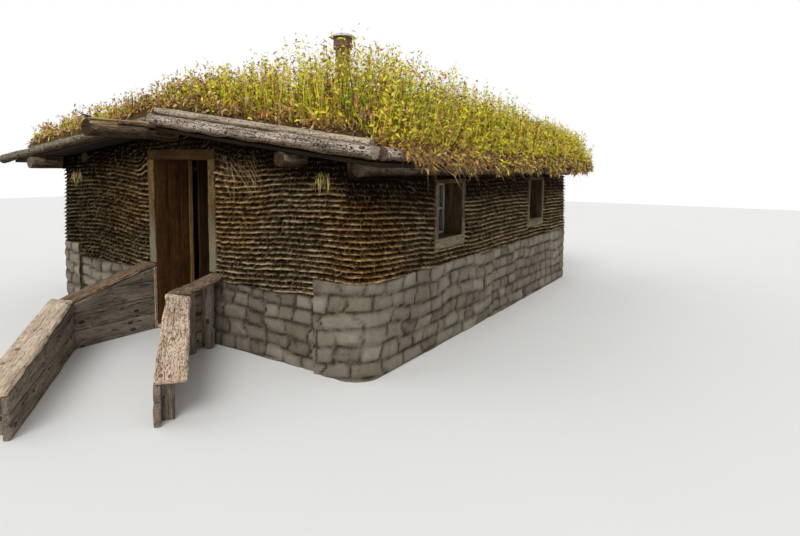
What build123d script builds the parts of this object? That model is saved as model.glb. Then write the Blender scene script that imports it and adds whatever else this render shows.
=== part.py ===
# Sod house: thick turf walls on a stone footing, a low log-framed roof under living turf, one plank
# door at the foot of a board-lined entry, and deep-set windows in both sides.
# Millimetres, +Z up. The origin is under the door sill, in the outer face of the front wall,
# with +X to the right along that wall and +Y into the house.
import os
from math import cos, radians, sin, sqrt, tan

from build123d import *

os.makedirs("parts", exist_ok=True)

LEFT = -1
RIGHT = 1

# Walls
wall_width = 5040
wall_length = 6100
wall_thickness = 500
corner_radius = 220
footing_height = 870
footing_front_height = 700  # between the corners, where the turf reaches lower
footing_ledge = 40  # the side footings stand this far proud of the turf
door_offset = 73  # the doorway stands this far right of the ridge line
over_door = 245  # from the doorway's head lining up to the ridge log's axis

# Roof planes: the underside of the boards, falling away from the ridge line
deck_seat = 15  # the roof planes meet this far above the ridge log's axis
roof_slope = {LEFT: 0.11, RIGHT: 0.13}
deck_thickness = 35
eave_overhang_left = 580
eave_overhang_right = 380
turf_thickness = 220
turf_edge_height = 110
turf_edge_slant = 150
board_nosing = 10  # the boards reach this far past the rake logs' axes

# Growth on the turf: its height at the front and the back of the roof
growth_left_eave = (130, 130)
growth_ridge = (210, 200)
growth_right_middle = (600, 310)
growth_right_eave = (540, 270)
growth_middle_offset = 1750  # the right slope's growth is highest this far from the ridge line

# Logs
log_gap = 0.3  # room left between round logs and what they lie on
ridge_radius = 95
ridge_tongue = 50  # half the width left standing between the two ledges
ridge_front_reach = 970
ridge_back_reach = 450
purlin_radius = 65
purlin_inset = 565  # the purlins lie this far inside the plate logs
purlin_reach = 325
purlin_stub = 30  # the left purlin is sawn off this close to the front wall
plate_radius = 75
plate_inset = 90
plate_reach = 420
plate_recess = 60  # the right plate log stops this far inside the front wall's face
rake_radius = 62
rake_setback = 300  # distance of the rake logs in front of the wall face
rake_overrun_left = 370  # the left one runs on this far past the edge of the boards
rake_short_right = 50  # the right one stops this far short of it
rake_clearance = 5
eave_radius = 62
pole_radius = 42
pole_shift_ridge = 30  # the top pole's ends lie this far behind the rake log's line
pole_shift_eave = 80
pole_tilt = 35  # its end at the ridge lies this much higher over the rake log
pole_start = 70
pole_short = 137  # it stops this far short of the edge of the boards

# Doorway
door_width = 934
door_height = 1900
sill_thickness = 50
sill_nosing = 25
lining_thickness = 40
casing_width = 110
casing_thickness = 25

# Door leaf, hung on the inner face of the wall and shown standing open into the room
leaf_thickness = 35
leaf_lap = 13
leaf_gap = 5
leaf_ground_gap = 10
ledge_thickness = 25
ledge_height = 120
ledge_inset = 60
ledge_foot = 270  # from the leaf's lower edge up to the middle of the lowest ledge
ledge_drop = 203  # from its upper edge down to the middle of the highest one
ledge_lift = 35  # the middle ledge lies this far above halfway
strap_height = 44
strap_thickness = 6
strap_length = 620
strap_rise = 90  # the straps lie this far above the middle of the ledges that they belong to
knuckle_radius = 14
pin_radius = 8
pin_gap = 0.3
pin_inset = 12
arm_width = 12
arm_height = 14
latch_height = 1010
latch_grip = 160
latch_reach = 40
latch_bar = 16
latch_inset = 70

# Windows, two in each side wall
window_from_front = 1610
window_from_back = 1640
window_width = 560
window_height = 585
window_drop = 230  # their heads lie this far below the doorway's
window_board = 30
window_casing_side = 70
window_casing_head = 45
window_apron = 110
window_setback = 205
sash_thickness = 40
sash_bar = 30
sash_muntin = 20
glass_thickness = 4

# Stovepipe
pipe_x = 500
pipe_y = 2200
pipe_radius = 100
pipe_wall = 4
pipe_rise = 1375  # above the ridge log's axis
pipe_drop = 120
collar_wall = 30
collar_rise = 40
hood_radius = 125
hood_height = 150
hood_wall = 6
cap_radius = 170
cap_rise = 60
cap_rim = 8

# Board-lined entry
wing_board = 50
wing_post = 90
wing_post_inset = 110
wing_cap_width = 240
wing_cap_thickness = 42
wing_turn = 52
wing_gap_left = 16  # from the doorway's clear edge out to the wing's inner face
wing_gap_right = 20
wing_near_left = 945
wing_near_right = 560
wing_far_left = 1980
wing_far_right = 1550
wing_wall_height = 770
wing_bend_left = 512
wing_bend_right = 650
wing_end_left = 345
wing_end_right = 350
wing_clip_left = 80
wing_clip_right = 12

# Places worked out from the sizes above
middle = -door_offset
wall_outer = wall_width / 2
wall_inner = wall_outer - wall_thickness
plate_offset = wall_outer - plate_inset
door_half = door_width / 2
lining_half = door_half + lining_thickness
door_head = sill_thickness + door_height
lining_head = door_head + lining_thickness
ridge_height = lining_head + over_door
ridge_top = ridge_height + ridge_radius
roof_plane_height = ridge_height + deck_seat
wall_mid = wall_length / 2
purlin_offset = plate_offset - purlin_inset
deck_reach = {LEFT: wall_outer + eave_overhang_left, RIGHT: wall_outer + eave_overhang_right}
deck_start = ridge_tongue + log_gap
rake_reach = {
    LEFT: deck_reach[LEFT] + rake_overrun_left,
    RIGHT: deck_reach[RIGHT] - rake_short_right,
}
pole_end = deck_reach[RIGHT] - pole_short
deck_front = -rake_setback - board_nosing
tongue_front = -rake_setback + rake_radius + rake_clearance
turf_front = -rake_setback + pole_shift_eave + pole_radius + rake_clearance
purlin_front = {LEFT: -purlin_stub, RIGHT: -purlin_reach}
plate_front = {LEFT: -plate_reach, RIGHT: plate_recess}
window_positions = (window_from_front, wall_length - window_from_back)
window_top = door_head - window_drop
window_bottom = window_top - window_height
window_middle = window_bottom + window_height / 2
window_outer_width = window_width + 2 * window_board
window_outer_height = window_height + 2 * window_board
pipe_position = (pipe_x, pipe_y)
pipe_top = ridge_height + pipe_rise
wing_line = {LEFT: -door_half - wing_gap_left, RIGHT: door_half + wing_gap_right}
wing_near_length = {LEFT: wing_near_left, RIGHT: wing_near_right}
wing_far_length = {LEFT: wing_far_left, RIGHT: wing_far_right}
wing_bend_height = {LEFT: wing_bend_left, RIGHT: wing_bend_right}
wing_end_height = {LEFT: wing_end_left, RIGHT: wing_end_right}
wing_end_clip = {LEFT: wing_clip_left, RIGHT: wing_clip_right}


def steepness(side):
    """Length along the slope for each unit across it."""
    return sqrt(1 + roof_slope[side] ** 2)


def underside(side, offset):
    """Height of the roof boards' underside, this far out from the ridge line."""
    return roof_plane_height - roof_slope[side] * offset


def deck_top(side, offset):
    """Height of the roof boards' upper face."""
    return underside(side, offset) + deck_thickness * steepness(side)


def turf_top(side, offset):
    """Height of the upper face of the turf that lies on the boards."""
    return deck_top(side, offset) + turf_thickness * steepness(side)


def log_height(side, offset, radius):
    """Axis height of a level log that lies just under the roof boards."""
    return underside(side, offset) - radius * steepness(side) - log_gap


def across(side, offset):
    """X of a place this far out from the ridge line."""
    return middle + side * offset


def cross_section(start):
    """Upright plane across the house, seen from its front, at this Y."""
    return Plane(origin=(0, start, 0), x_dir=(1, 0, 0), z_dir=(0, -1, 0))


def box_between(low, high, mode=Mode.ADD):
    """Box with these two opposite corners."""
    size = [b - a for a, b in zip(low, high)]
    centre = [(a + b) / 2 for a, b in zip(low, high)]
    with Locations(tuple(centre)):
        Box(*size, mode=mode)


def level_log(x, z, radius, front, back, mode=Mode.ADD):
    """Round log along the house between two Y values."""
    with BuildSketch(cross_section(back)) as log_end:
        with Locations((x, z)):
            Circle(radius)
    extrude(log_end.sketch, amount=back - front, mode=mode)


def above_roof_plane(front, back, tongue=0, reach=wall_outer, mode=Mode.SUBTRACT):
    """Take away what stands above the roof planes, but for a tongue along the ridge line."""
    for side in (LEFT, RIGHT):
        with BuildSketch(cross_section(back)) as wedge:
            Polygon(
                (across(side, tongue), underside(side, tongue)),
                (across(side, reach), underside(side, reach)),
                (across(side, reach), ridge_top + plate_radius),
                (across(side, tongue), ridge_top + plate_radius),
                align=None,
            )
        extrude(wedge.sketch, amount=back - front, mode=mode)


def cut_roof_logs(front, back):
    """Seats for the ridge log and the purlins in the top of an end wall."""
    level_log(middle, ridge_height, ridge_radius + log_gap, front, back, Mode.SUBTRACT)
    for side in (LEFT, RIGHT):
        height = log_height(side, purlin_offset, purlin_radius)
        level_log(across(side, purlin_offset), height, purlin_radius + log_gap, front, back, Mode.SUBTRACT)


def save(piece, name):
    """Label a finished piece and write it as a STEP file of the same name."""
    piece.part.label = name
    export_step(piece.part, f"parts/{name}.step")


# Stone footing under every wall
front_spans = {
    LEFT: (across(LEFT, wall_inner), -lining_half),
    RIGHT: (lining_half, across(RIGHT, wall_inner)),
}
side_names = {LEFT: "left", RIGHT: "right"}

with BuildPart() as footing_sides:
    for side in (LEFT, RIGHT):
        footing_outer = wall_outer + footing_ledge
        with BuildSketch():
            with Locations((across(side, (footing_outer + wall_inner) / 2), wall_mid)):
                Rectangle(footing_outer - wall_inner, wall_length + 2 * footing_ledge)
        extrude(amount=footing_height)
        corners = footing_sides.edges().filter_by(Axis.Z).filter_by_position(
            Axis.X, across(side, footing_outer) - 1, across(side, footing_outer) + 1
        )
        fillet(corners, corner_radius + footing_ledge)
save(footing_sides, "footing_sides")

with BuildPart() as footing_back:
    box_between(
        (across(LEFT, wall_inner), wall_length - wall_thickness, 0),
        (across(RIGHT, wall_inner), wall_length, footing_height),
    )
save(footing_back, "footing_back")

with BuildPart() as footing_front:
    for side in (LEFT, RIGHT):
        box_between(
            (front_spans[side][0], 0, 0), (front_spans[side][1], wall_thickness, footing_front_height)
        )
save(footing_front, "footing_front")

# Turf walls
for side in (LEFT, RIGHT):
    with BuildPart() as front_wall:
        box_between(
            (front_spans[side][0], 0, footing_front_height),
            (front_spans[side][1], wall_thickness, ridge_top),
        )
        above_roof_plane(0, wall_thickness)
        cut_roof_logs(0, wall_thickness)
    save(front_wall, f"front_wall_{side_names[side]}")

with BuildPart() as front_wall_over_door:
    box_between((-lining_half, 0, lining_head), (lining_half, wall_thickness, ridge_top))
    above_roof_plane(0, wall_thickness)
    cut_roof_logs(0, wall_thickness)
save(front_wall_over_door, "front_wall_over_door")

with BuildPart() as back_wall:
    box_between(
        (across(LEFT, wall_inner), wall_length - wall_thickness, footing_height),
        (across(RIGHT, wall_inner), wall_length, ridge_top),
    )
    above_roof_plane(wall_length - wall_thickness, wall_length)
    cut_roof_logs(wall_length - wall_thickness, wall_length)
save(back_wall, "back_wall")

for side in (LEFT, RIGHT):
    seat = log_height(side, plate_offset, plate_radius) - plate_radius - log_gap
    shoulder = plate_offset - plate_radius - log_gap
    with BuildPart() as side_wall:
        with BuildSketch(cross_section(wall_length)):
            Polygon(
                (across(side, wall_outer), footing_height),
                (across(side, wall_outer), seat),
                (across(side, shoulder), seat),
                (across(side, shoulder), underside(side, shoulder)),
                (across(side, wall_inner), underside(side, wall_inner)),
                (across(side, wall_inner), footing_height),
                align=None,
            )
        extrude(amount=wall_length)
        corners = side_wall.edges().filter_by(Axis.Z).filter_by_position(
            Axis.X, across(side, wall_outer) - 1, across(side, wall_outer) + 1
        )
        fillet(corners, corner_radius)
        with Locations([(across(side, wall_outer), y, window_middle) for y in window_positions]):
            Box(3 * wall_thickness, window_outer_width, window_outer_height, mode=Mode.SUBTRACT)
    save(side_wall, f"{side_names[side]}_wall")

# Roof logs
with BuildPart() as ridge_log:
    level_log(middle, ridge_height, ridge_radius, -ridge_front_reach, wall_length + ridge_back_reach)
    above_roof_plane(tongue_front, wall_length - tongue_front, tongue=ridge_tongue)
    saddle_reach = rake_setback + rake_radius + rake_clearance
    above_roof_plane(-saddle_reach, tongue_front)
    above_roof_plane(wall_length - tongue_front, wall_length + saddle_reach)
save(ridge_log, "ridge_log")

with BuildPart() as purlins:
    for side in (LEFT, RIGHT):
        height = log_height(side, purlin_offset, purlin_radius)
        level_log(
            across(side, purlin_offset),
            height,
            purlin_radius,
            purlin_front[side],
            wall_length + purlin_reach,
        )
save(purlins, "purlins")

with BuildPart() as plate_logs:
    for side in (LEFT, RIGHT):
        height = log_height(side, plate_offset, plate_radius)
        level_log(
            across(side, plate_offset),
            height,
            plate_radius,
            plate_front[side],
            wall_length + plate_reach,
        )
save(plate_logs, "plate_logs")


def over_slope(side, offset, y, lift):
    """Point this far above one roof plane, measured square to it."""
    return (across(side, offset), y, underside(side, offset) + lift * steepness(side))


def round_log(start, end, radius):
    """Round log between two points on its axis."""
    along = Vector(*end) - Vector(*start)
    with BuildSketch(Plane(origin=start, z_dir=along)) as log_end:
        Circle(radius)
    extrude(log_end.sketch, amount=along.length)


# Rake logs on the boards at the front and the back, cut upright at the ridge line
rake_lift = deck_thickness + rake_radius + log_gap
for side in (LEFT, RIGHT):
    keep = Keep.TOP if side == RIGHT else Keep.BOTTOM
    with BuildPart() as rake_logs:
        for y in (-rake_setback, wall_length + rake_setback):
            past_ridge = over_slope(side, -rake_radius, y, rake_lift)
            round_log(past_ridge, over_slope(side, rake_reach[side], y, rake_lift), rake_radius)
        split(bisect_by=Plane.YZ.offset(middle + side * log_gap), keep=keep)
    save(rake_logs, f"rake_logs_{side_names[side]}")

# The top pole lies a little askew on the right rake log, and meets it halfway
with BuildPart() as top_pole:
    between_axes = rake_radius + pole_radius + log_gap
    halfway_shift = (pole_shift_ridge + pole_shift_eave) / 2
    pole_lift = rake_lift + sqrt(between_axes**2 - halfway_shift**2)
    ridge_end = over_slope(
        RIGHT, pole_start, -rake_setback + pole_shift_ridge, pole_lift + pole_tilt / 2
    )
    eave_end = over_slope(RIGHT, pole_end, -rake_setback + pole_shift_eave, pole_lift - pole_tilt / 2)
    round_log(ridge_end, eave_end, pole_radius)
save(top_pole, "top_pole")

eave_offset = {side: deck_reach[side] - eave_radius - rake_clearance for side in (LEFT, RIGHT)}
with BuildPart() as eave_logs:
    for side in (LEFT, RIGHT):
        lift = (eave_radius + log_gap) * steepness(side)
        height = deck_top(side, eave_offset[side]) + lift
        level_log(
            across(side, eave_offset[side]), height, eave_radius, turf_front, wall_length - turf_front
        )
save(eave_logs, "eave_logs")

# Roof boards and the turf on them, both pierced by the stovepipe's collar
collar_radius = pipe_radius + collar_wall
turf_edge = {side: eave_offset[side] - eave_radius - log_gap for side in (LEFT, RIGHT)}
flat_turf_edge = {side: turf_edge[side] - turf_edge_slant for side in (LEFT, RIGHT)}


def pierce_for_collar():
    """Round hole for the collar through whatever stands at the stovepipe's place."""
    with BuildSketch(Plane.XY) as hole:
        with Locations(pipe_position):
            Circle(collar_radius)
    extrude(hole.sketch, amount=2 * ridge_top, mode=Mode.SUBTRACT)


for side in (LEFT, RIGHT):
    with BuildPart() as roof_boards:
        with BuildSketch(cross_section(wall_length - deck_front)):
            Polygon(
                (across(side, deck_start), underside(side, deck_start)),
                (across(side, deck_reach[side]), underside(side, deck_reach[side])),
                (across(side, deck_reach[side]), deck_top(side, deck_reach[side])),
                (across(side, deck_start), deck_top(side, deck_start)),
                align=None,
            )
        extrude(amount=wall_length - 2 * deck_front)
        pierce_for_collar()
    save(roof_boards, f"roof_boards_{side_names[side]}")

    with BuildPart() as roof_turf:
        with BuildSketch(cross_section(wall_length - turf_front)):
            Polygon(
                (across(side, deck_start), deck_top(side, deck_start)),
                (across(side, turf_edge[side]), deck_top(side, turf_edge[side])),
                (across(side, turf_edge[side]), deck_top(side, turf_edge[side]) + turf_edge_height),
                (across(side, flat_turf_edge[side]), turf_top(side, flat_turf_edge[side])),
                (across(side, 0), turf_top(side, 0)),
                (across(side, 0), ridge_top + log_gap),
                (across(side, deck_start), ridge_top + log_gap),
                align=None,
            )
        extrude(amount=wall_length - 2 * turf_front)
        pierce_for_collar()
    save(roof_turf, f"roof_turf_{side_names[side]}")

# Grass and weeds on the turf: a body of growth on each slope, lower towards the back
growth_stations = {
    LEFT: ((log_gap, growth_ridge), (flat_turf_edge[LEFT], growth_left_eave)),
    RIGHT: (
        (0, growth_ridge),
        (growth_middle_offset, growth_right_middle),
        (flat_turf_edge[RIGHT], growth_right_eave),
    ),
}
with BuildPart() as roof_grass:
    for side in (LEFT, RIGHT):
        stations = growth_stations[side]
        sections = []
        for end, y in enumerate((turf_front, wall_length - turf_front)):
            foot = [turf_top(side, offset) for offset, _ in stations]
            with BuildSketch(cross_section(y)) as section:
                Polygon(
                    (across(side, stations[0][0]), foot[0]),
                    (across(side, stations[-1][0]), foot[-1]),
                    *[
                        (across(side, offset), level + heights[end])
                        for level, (offset, heights) in zip(reversed(foot), reversed(stations))
                    ],
                    align=None,
                )
            sections.append(section.sketch)
        loft(sections, ruled=True)
    pierce_for_collar()
save(roof_grass, "roof_grass")

# Stovepipe with its collar in the roof and its hooded cap
pipe_side = RIGHT if pipe_position[0] > middle else LEFT
pipe_offset = abs(pipe_position[0] - middle)
collar_bottom = underside(pipe_side, pipe_offset + collar_radius) - collar_wall
collar_top = turf_top(pipe_side, pipe_offset) + collar_rise
pipe_bottom = collar_bottom - pipe_drop


def ring(radius, wall, bottom, top):
    """Upright tube round the stovepipe's axis."""
    with BuildSketch(Plane.XY.offset(bottom)) as section:
        with Locations(pipe_position):
            Circle(radius)
            Circle(radius - wall, mode=Mode.SUBTRACT)
    extrude(section.sketch, amount=top - bottom)


with BuildPart() as stovepipe:
    ring(pipe_radius, pipe_wall, pipe_bottom, pipe_top)
save(stovepipe, "stovepipe")

with BuildPart() as pipe_collar:
    ring(collar_radius, collar_wall, collar_bottom, collar_top)
save(pipe_collar, "pipe_collar")

with BuildPart() as pipe_cap:
    hood_bottom = pipe_top - hood_height
    dome_radius = (cap_radius**2 + cap_rise**2) / (2 * cap_rise)
    dome_centre = pipe_top + cap_rise - dome_radius
    dome_mid = dome_centre + sqrt(dome_radius**2 - (cap_radius / 2) ** 2)
    pipe_axis_plane = Plane(origin=(*pipe_position, 0), x_dir=(1, 0, 0), z_dir=(0, -1, 0))
    with BuildSketch(pipe_axis_plane):
        with BuildLine():
            Polyline(
                (pipe_radius, hood_bottom),
                (hood_radius, hood_bottom),
                (hood_radius, pipe_top),
                (cap_radius, pipe_top - cap_rim),
                (cap_radius, pipe_top),
            )
            ThreePointArc(
                (cap_radius, pipe_top), (cap_radius / 2, dome_mid), (0, pipe_top + cap_rise)
            )
            Polyline(
                (0, pipe_top + cap_rise),
                (0, pipe_top),
                (hood_radius - hood_wall, pipe_top),
                (hood_radius - hood_wall, hood_bottom + hood_wall),
                (pipe_radius, hood_bottom + hood_wall),
                (pipe_radius, hood_bottom),
            )
        make_face()
    revolve(axis=Axis((*pipe_position, 0), (0, 0, 1)))
save(pipe_cap, "pipe_cap")

# Doorway boards
def doorway_pair(width, front, back, bottom):
    """Two upright boards, one each side of the doorway, from this height up to its head."""
    for side in (LEFT, RIGHT):
        inner_edge = side * door_half
        outer_edge = side * (door_half + width)
        box_between(
            (min(inner_edge, outer_edge), front, bottom), (max(inner_edge, outer_edge), back, door_head)
        )


with BuildPart() as door_linings:
    doorway_pair(lining_thickness, 0, wall_thickness, 0)
save(door_linings, "door_linings")

with BuildPart() as door_casings:
    doorway_pair(casing_width, -casing_thickness, 0, wing_wall_height)
save(door_casings, "door_casings")

with BuildPart() as door_lining_head:
    box_between((-lining_half, 0, door_head), (lining_half, wall_thickness, lining_head))
save(door_lining_head, "door_lining_head")

with BuildPart() as door_casing_head:
    casing_half = door_half + casing_width
    box_between(
        (-casing_half, -casing_thickness, door_head),
        (casing_half, 0, door_head + casing_width),
    )
save(door_casing_head, "door_casing_head")

with BuildPart() as door_sill:
    box_between((-door_half, -sill_nosing, 0), (door_half, wall_thickness, sill_thickness))
save(door_sill, "door_sill")

# Door leaf: drawn shut against the inner face of the linings, then swung open on its pins.
# Shut, the hinge edge is at the left and the boards face the doorway.
leaf_half = door_half + leaf_lap
leaf_front = wall_thickness + leaf_gap
leaf_back = leaf_front + leaf_thickness
leaf_bottom = sill_thickness + leaf_ground_gap
leaf_top = door_head + leaf_lap
pin_x = -leaf_half - pin_inset
pin_y = leaf_back + knuckle_radius + pin_gap
lowest_ledge = leaf_bottom + ledge_foot
highest_ledge = leaf_top - ledge_drop
ledge_centres = (lowest_ledge, (lowest_ledge + highest_ledge) / 2 + ledge_lift, highest_ledge)
strap_centres = [centre + strap_rise for centre in (lowest_ledge, highest_ledge)]
open_turn = 90


def swing_open(piece):
    """The shut piece turned about the hinge pins to where it stands open."""
    return piece.part.rotate(Axis((pin_x, pin_y, 0), (0, 0, 1)), open_turn)


with BuildPart() as leaf_shut:
    box_between((-leaf_half, leaf_front, leaf_bottom), (leaf_half, leaf_back, leaf_top))
    for centre in ledge_centres:
        box_between(
            (-leaf_half + ledge_inset, leaf_back, centre - ledge_height / 2),
            (leaf_half - ledge_inset, leaf_back + ledge_thickness, centre + ledge_height / 2),
        )

with BuildPart() as door_leaf:
    add(swing_open(leaf_shut))
save(door_leaf, "door_leaf")

with BuildPart() as straps_shut:
    for centre in strap_centres:
        bottom = centre - strap_height / 2
        box_between(
            (pin_x, leaf_back, bottom),
            (pin_x + strap_length, leaf_back + strap_thickness, bottom + strap_height),
        )
        with BuildSketch(Plane.XY.offset(bottom)):
            with Locations((pin_x, pin_y)):
                Circle(knuckle_radius)
        extrude(amount=strap_height)
        with BuildSketch(Plane.XY.offset(bottom)):
            with Locations((pin_x, pin_y)):
                Circle(pin_radius + pin_gap)
        extrude(amount=strap_height, mode=Mode.SUBTRACT)

with BuildPart() as door_straps:
    add(swing_open(straps_shut))
save(door_straps, "door_straps")

with BuildPart() as door_pintles:
    for centre in strap_centres:
        shoulder_top = centre - strap_height / 2 - pin_gap
        box_between(
            (pin_x - arm_width / 2, wall_thickness, shoulder_top - arm_height),
            (pin_x + arm_width / 2, pin_y + pin_radius, shoulder_top),
        )
        with BuildSketch(Plane.XY.offset(shoulder_top - arm_height)):
            with Locations((pin_x, pin_y)):
                Circle(pin_radius)
        extrude(amount=arm_height + strap_height)
save(door_pintles, "door_pintles")

with BuildPart() as pull_shut:
    grip_x = leaf_half - latch_inset
    for end in (-1, 1):
        middle_z = latch_height + end * (latch_grip - latch_bar) / 2
        box_between(
            (grip_x - latch_bar / 2, leaf_front - latch_reach, middle_z - latch_bar / 2),
            (grip_x + latch_bar / 2, leaf_front, middle_z + latch_bar / 2),
        )
    box_between(
        (grip_x - latch_bar / 2, leaf_front - latch_reach, latch_height - latch_grip / 2),
        (
            grip_x + latch_bar / 2,
            leaf_front - latch_reach + latch_bar,
            latch_height + latch_grip / 2,
        ),
    )

with BuildPart() as door_pull:
    add(swing_open(pull_shut))
save(door_pull, "door_pull")


# Windows
def window_places():
    """Side and Y of every window."""
    return [(side, y) for side in (LEFT, RIGHT) for y in window_positions]


def window_block(side, y, depth_from, depth_to, low, high, half_width, mode=Mode.ADD):
    """Box in a window, its depth measured inwards from the wall's outer face."""
    near = across(side, wall_outer - depth_from)
    far = across(side, wall_outer - depth_to)
    box_between((min(near, far), y - half_width, low), (max(near, far), y + half_width, high), mode)


for side in (LEFT, RIGHT):
    with BuildPart() as window_frames:
        for y in window_positions:
            window_block(
                side,
                y,
                0,
                wall_thickness,
                window_bottom - window_board,
                window_top + window_board,
                window_outer_width / 2,
            )
            window_block(
                side,
                y,
                -casing_thickness,
                0,
                window_bottom - window_apron,
                window_top + window_casing_head,
                window_width / 2 + window_casing_side,
            )
            window_block(
                side,
                y,
                -2 * casing_thickness,
                2 * wall_thickness,
                window_bottom,
                window_top,
                window_width / 2,
                Mode.SUBTRACT,
            )
    save(window_frames, f"window_frames_{side_names[side]}")

sash_in = window_setback + sash_thickness
with BuildPart() as window_sashes:
    for side, y in window_places():
        window_block(side, y, window_setback, sash_in, window_bottom, window_top, window_width / 2)
        pane_width = (window_width - 2 * sash_bar - sash_muntin) / 2
        pane_height = (window_height - 2 * sash_bar - sash_muntin) / 2
        sash_x = across(side, wall_outer - window_setback)
        with Locations((sash_x, y, window_middle)):
            with Locations(
                *[
                    (0, column * (pane_width + sash_muntin) / 2, row * (pane_height + sash_muntin) / 2)
                    for column in (-1, 1)
                    for row in (-1, 1)
                ]
            ):
                Box(3 * sash_thickness, pane_width, pane_height, mode=Mode.SUBTRACT)
save(window_sashes, "window_sashes")

glass_in = sash_in - (sash_thickness - glass_thickness) / 2
with BuildPart() as window_glass:
    for side, y in window_places():
        for column in (-1, 1):
            for row in (-1, 1):
                pane_y = y + column * (pane_width + sash_muntin) / 2
                pane_z = window_middle + row * (pane_height + sash_muntin) / 2
                window_block(
                    side,
                    pane_y,
                    glass_in - glass_thickness,
                    glass_in,
                    pane_z - pane_height / 2,
                    pane_z + pane_height / 2,
                    pane_width / 2,
                )
save(window_glass, "window_glass")


# Entry wings: boards on edge with posts behind them, under sloping cap boards
def heading_vector(degrees):
    """Unit vector in plan, its angle turned from straight out of the doorway towards +X."""
    return (sin(radians(degrees)), -cos(radians(degrees)))


def wing_planes(start, degrees):
    """Plan plane and upright plane that both run along a wing from its start."""
    along = heading_vector(degrees)
    plan = Plane(origin=(*start, 0), x_dir=(*along, 0), z_dir=(0, 0, 1))
    upright = Plane(origin=(*start, 0), x_dir=(*along, 0), z_dir=(along[1], -along[0], 0))
    return plan, upright


def wing_run(side, part_name, start, degrees, length, heights, slants, clip):
    """One straight run of a wing: its boards with their posts, and the cap board on them.

    Slants say how far each end runs on for each unit outwards, so that two runs meet in a mitre.
    """
    plan, upright = wing_planes(start, degrees)
    spare = wing_cap_width
    cap_bottoms = [height - wing_cap_thickness for height in heights]

    def outline(width):
        """Plan outline of a strip that reaches this far outwards from the wing's inner face."""
        return [
            (0, 0),
            (length, 0),
            (length + slants[1] * width, side * width),
            (slants[0] * width, side * width),
        ]

    def keep_between(lower, upper):
        """Keep only what lies between two lines, each given by its heights at the run's ends."""
        lower_rise = (lower[1] - lower[0]) * spare / length
        upper_rise = (upper[1] - upper[0]) * spare / length
        with BuildSketch(upright) as slice_outline:
            Polygon(
                (-spare, lower[0] - lower_rise),
                (length + spare, lower[1] + lower_rise),
                (length + spare, upper[1] + upper_rise),
                (-spare, upper[0] - upper_rise),
                align=None,
            )
        extrude(slice_outline.sketch, amount=2 * spare, both=True, mode=Mode.INTERSECT)

    with BuildPart() as boards:
        with BuildSketch(plan):
            Polygon(*outline(wing_board), align=None)
            post_line = side * (wing_board + wing_post / 2)
            with Locations(
                (wing_post_inset + wing_post / 2, post_line),
                (length - wing_post_inset - wing_post / 2, post_line),
            ):
                Rectangle(wing_post, wing_post)
        extrude(amount=2 * wing_wall_height)
        keep_between((0, 0), cap_bottoms)
    save(boards, f"{part_name}_boards")

    with BuildPart() as cap:
        with BuildSketch(plan) as footprint:
            Polygon(*outline(wing_cap_width), align=None)
            if clip:
                chamfer(footprint.vertices().sort_by_distance((length, side * wing_cap_width))[0], clip)
        extrude(amount=2 * wing_wall_height)
        keep_between(cap_bottoms, heights)
    save(cap, f"{part_name}_cap")


for side in (LEFT, RIGHT):
    bend = (wing_line[side], -wing_near_length[side])
    mitre = -side * tan(radians(wing_turn / 2))
    wing_run(
        side,
        f"entry_{side_names[side]}_near",
        (wing_line[side], 0),
        0,
        wing_near_length[side],
        (wing_wall_height, wing_bend_height[side]),
        (0, mitre),
        0,
    )
    wing_run(
        side,
        f"entry_{side_names[side]}_far",
        bend,
        wing_turn,
        wing_far_length[side],
        (wing_bend_height[side], wing_end_height[side]),
        (-mitre, 0),
        wing_end_clip[side],
    )
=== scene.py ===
"""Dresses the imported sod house.

Turf walls in thin courses stand on a stone footing, with a plank door, deep board-lined windows and an
entry lined with boards. Round logs carry the roof boards, and living turf with a stovepipe lies on them.
World units are metres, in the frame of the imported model. Each piece is a mesh worked out here, or a
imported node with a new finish, and each finish is a node material.
"""
import logging
import math
from collections.abc import Callable, Sequence
from dataclasses import dataclass
from enum import Enum, IntEnum
from functools import cached_property

import bpy
import numpy as np
from mathutils import Matrix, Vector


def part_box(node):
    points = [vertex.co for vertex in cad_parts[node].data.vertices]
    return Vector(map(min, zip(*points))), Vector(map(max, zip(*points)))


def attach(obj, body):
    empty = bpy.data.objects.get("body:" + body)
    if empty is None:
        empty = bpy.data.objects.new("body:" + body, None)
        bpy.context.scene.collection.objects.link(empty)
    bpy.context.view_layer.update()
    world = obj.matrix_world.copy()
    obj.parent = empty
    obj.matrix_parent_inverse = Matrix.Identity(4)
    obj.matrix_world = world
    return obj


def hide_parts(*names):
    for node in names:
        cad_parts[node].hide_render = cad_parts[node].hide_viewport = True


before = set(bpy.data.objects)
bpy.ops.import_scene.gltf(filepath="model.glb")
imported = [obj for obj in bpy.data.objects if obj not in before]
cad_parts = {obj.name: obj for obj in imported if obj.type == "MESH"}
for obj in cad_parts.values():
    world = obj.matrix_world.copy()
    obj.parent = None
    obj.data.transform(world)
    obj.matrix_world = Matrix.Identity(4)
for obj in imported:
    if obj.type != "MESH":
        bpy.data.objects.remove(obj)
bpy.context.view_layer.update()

log = logging.getLogger("sod_house")
Array = np.ndarray
Numbers = np.ndarray | float
Draws = np.random.Generator
Trim = Callable[[Array], Array]
Pair = tuple[float, float]
Plan = Sequence[Pair]
Colour = tuple[float, float, float]
Socket = bpy.types.NodeSocket
Material = bpy.types.Material
UP = np.array([0.0, 0.0, 1.0])
FRONTWARD = np.array([0.0, -1.0, 0.0])
BOARD_EDGE = 40.0
LOG_EDGE = 55.0
STONE_EDGE = 50.0
SHEET_EDGE = 35.0


class Side(IntEnum):
    """The two sides of the house, seen from its front."""

    LEFT = -1
    RIGHT = 1

    @property
    def word(self) -> str:
        """The side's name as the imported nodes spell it."""
        return self.name.lower()


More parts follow.
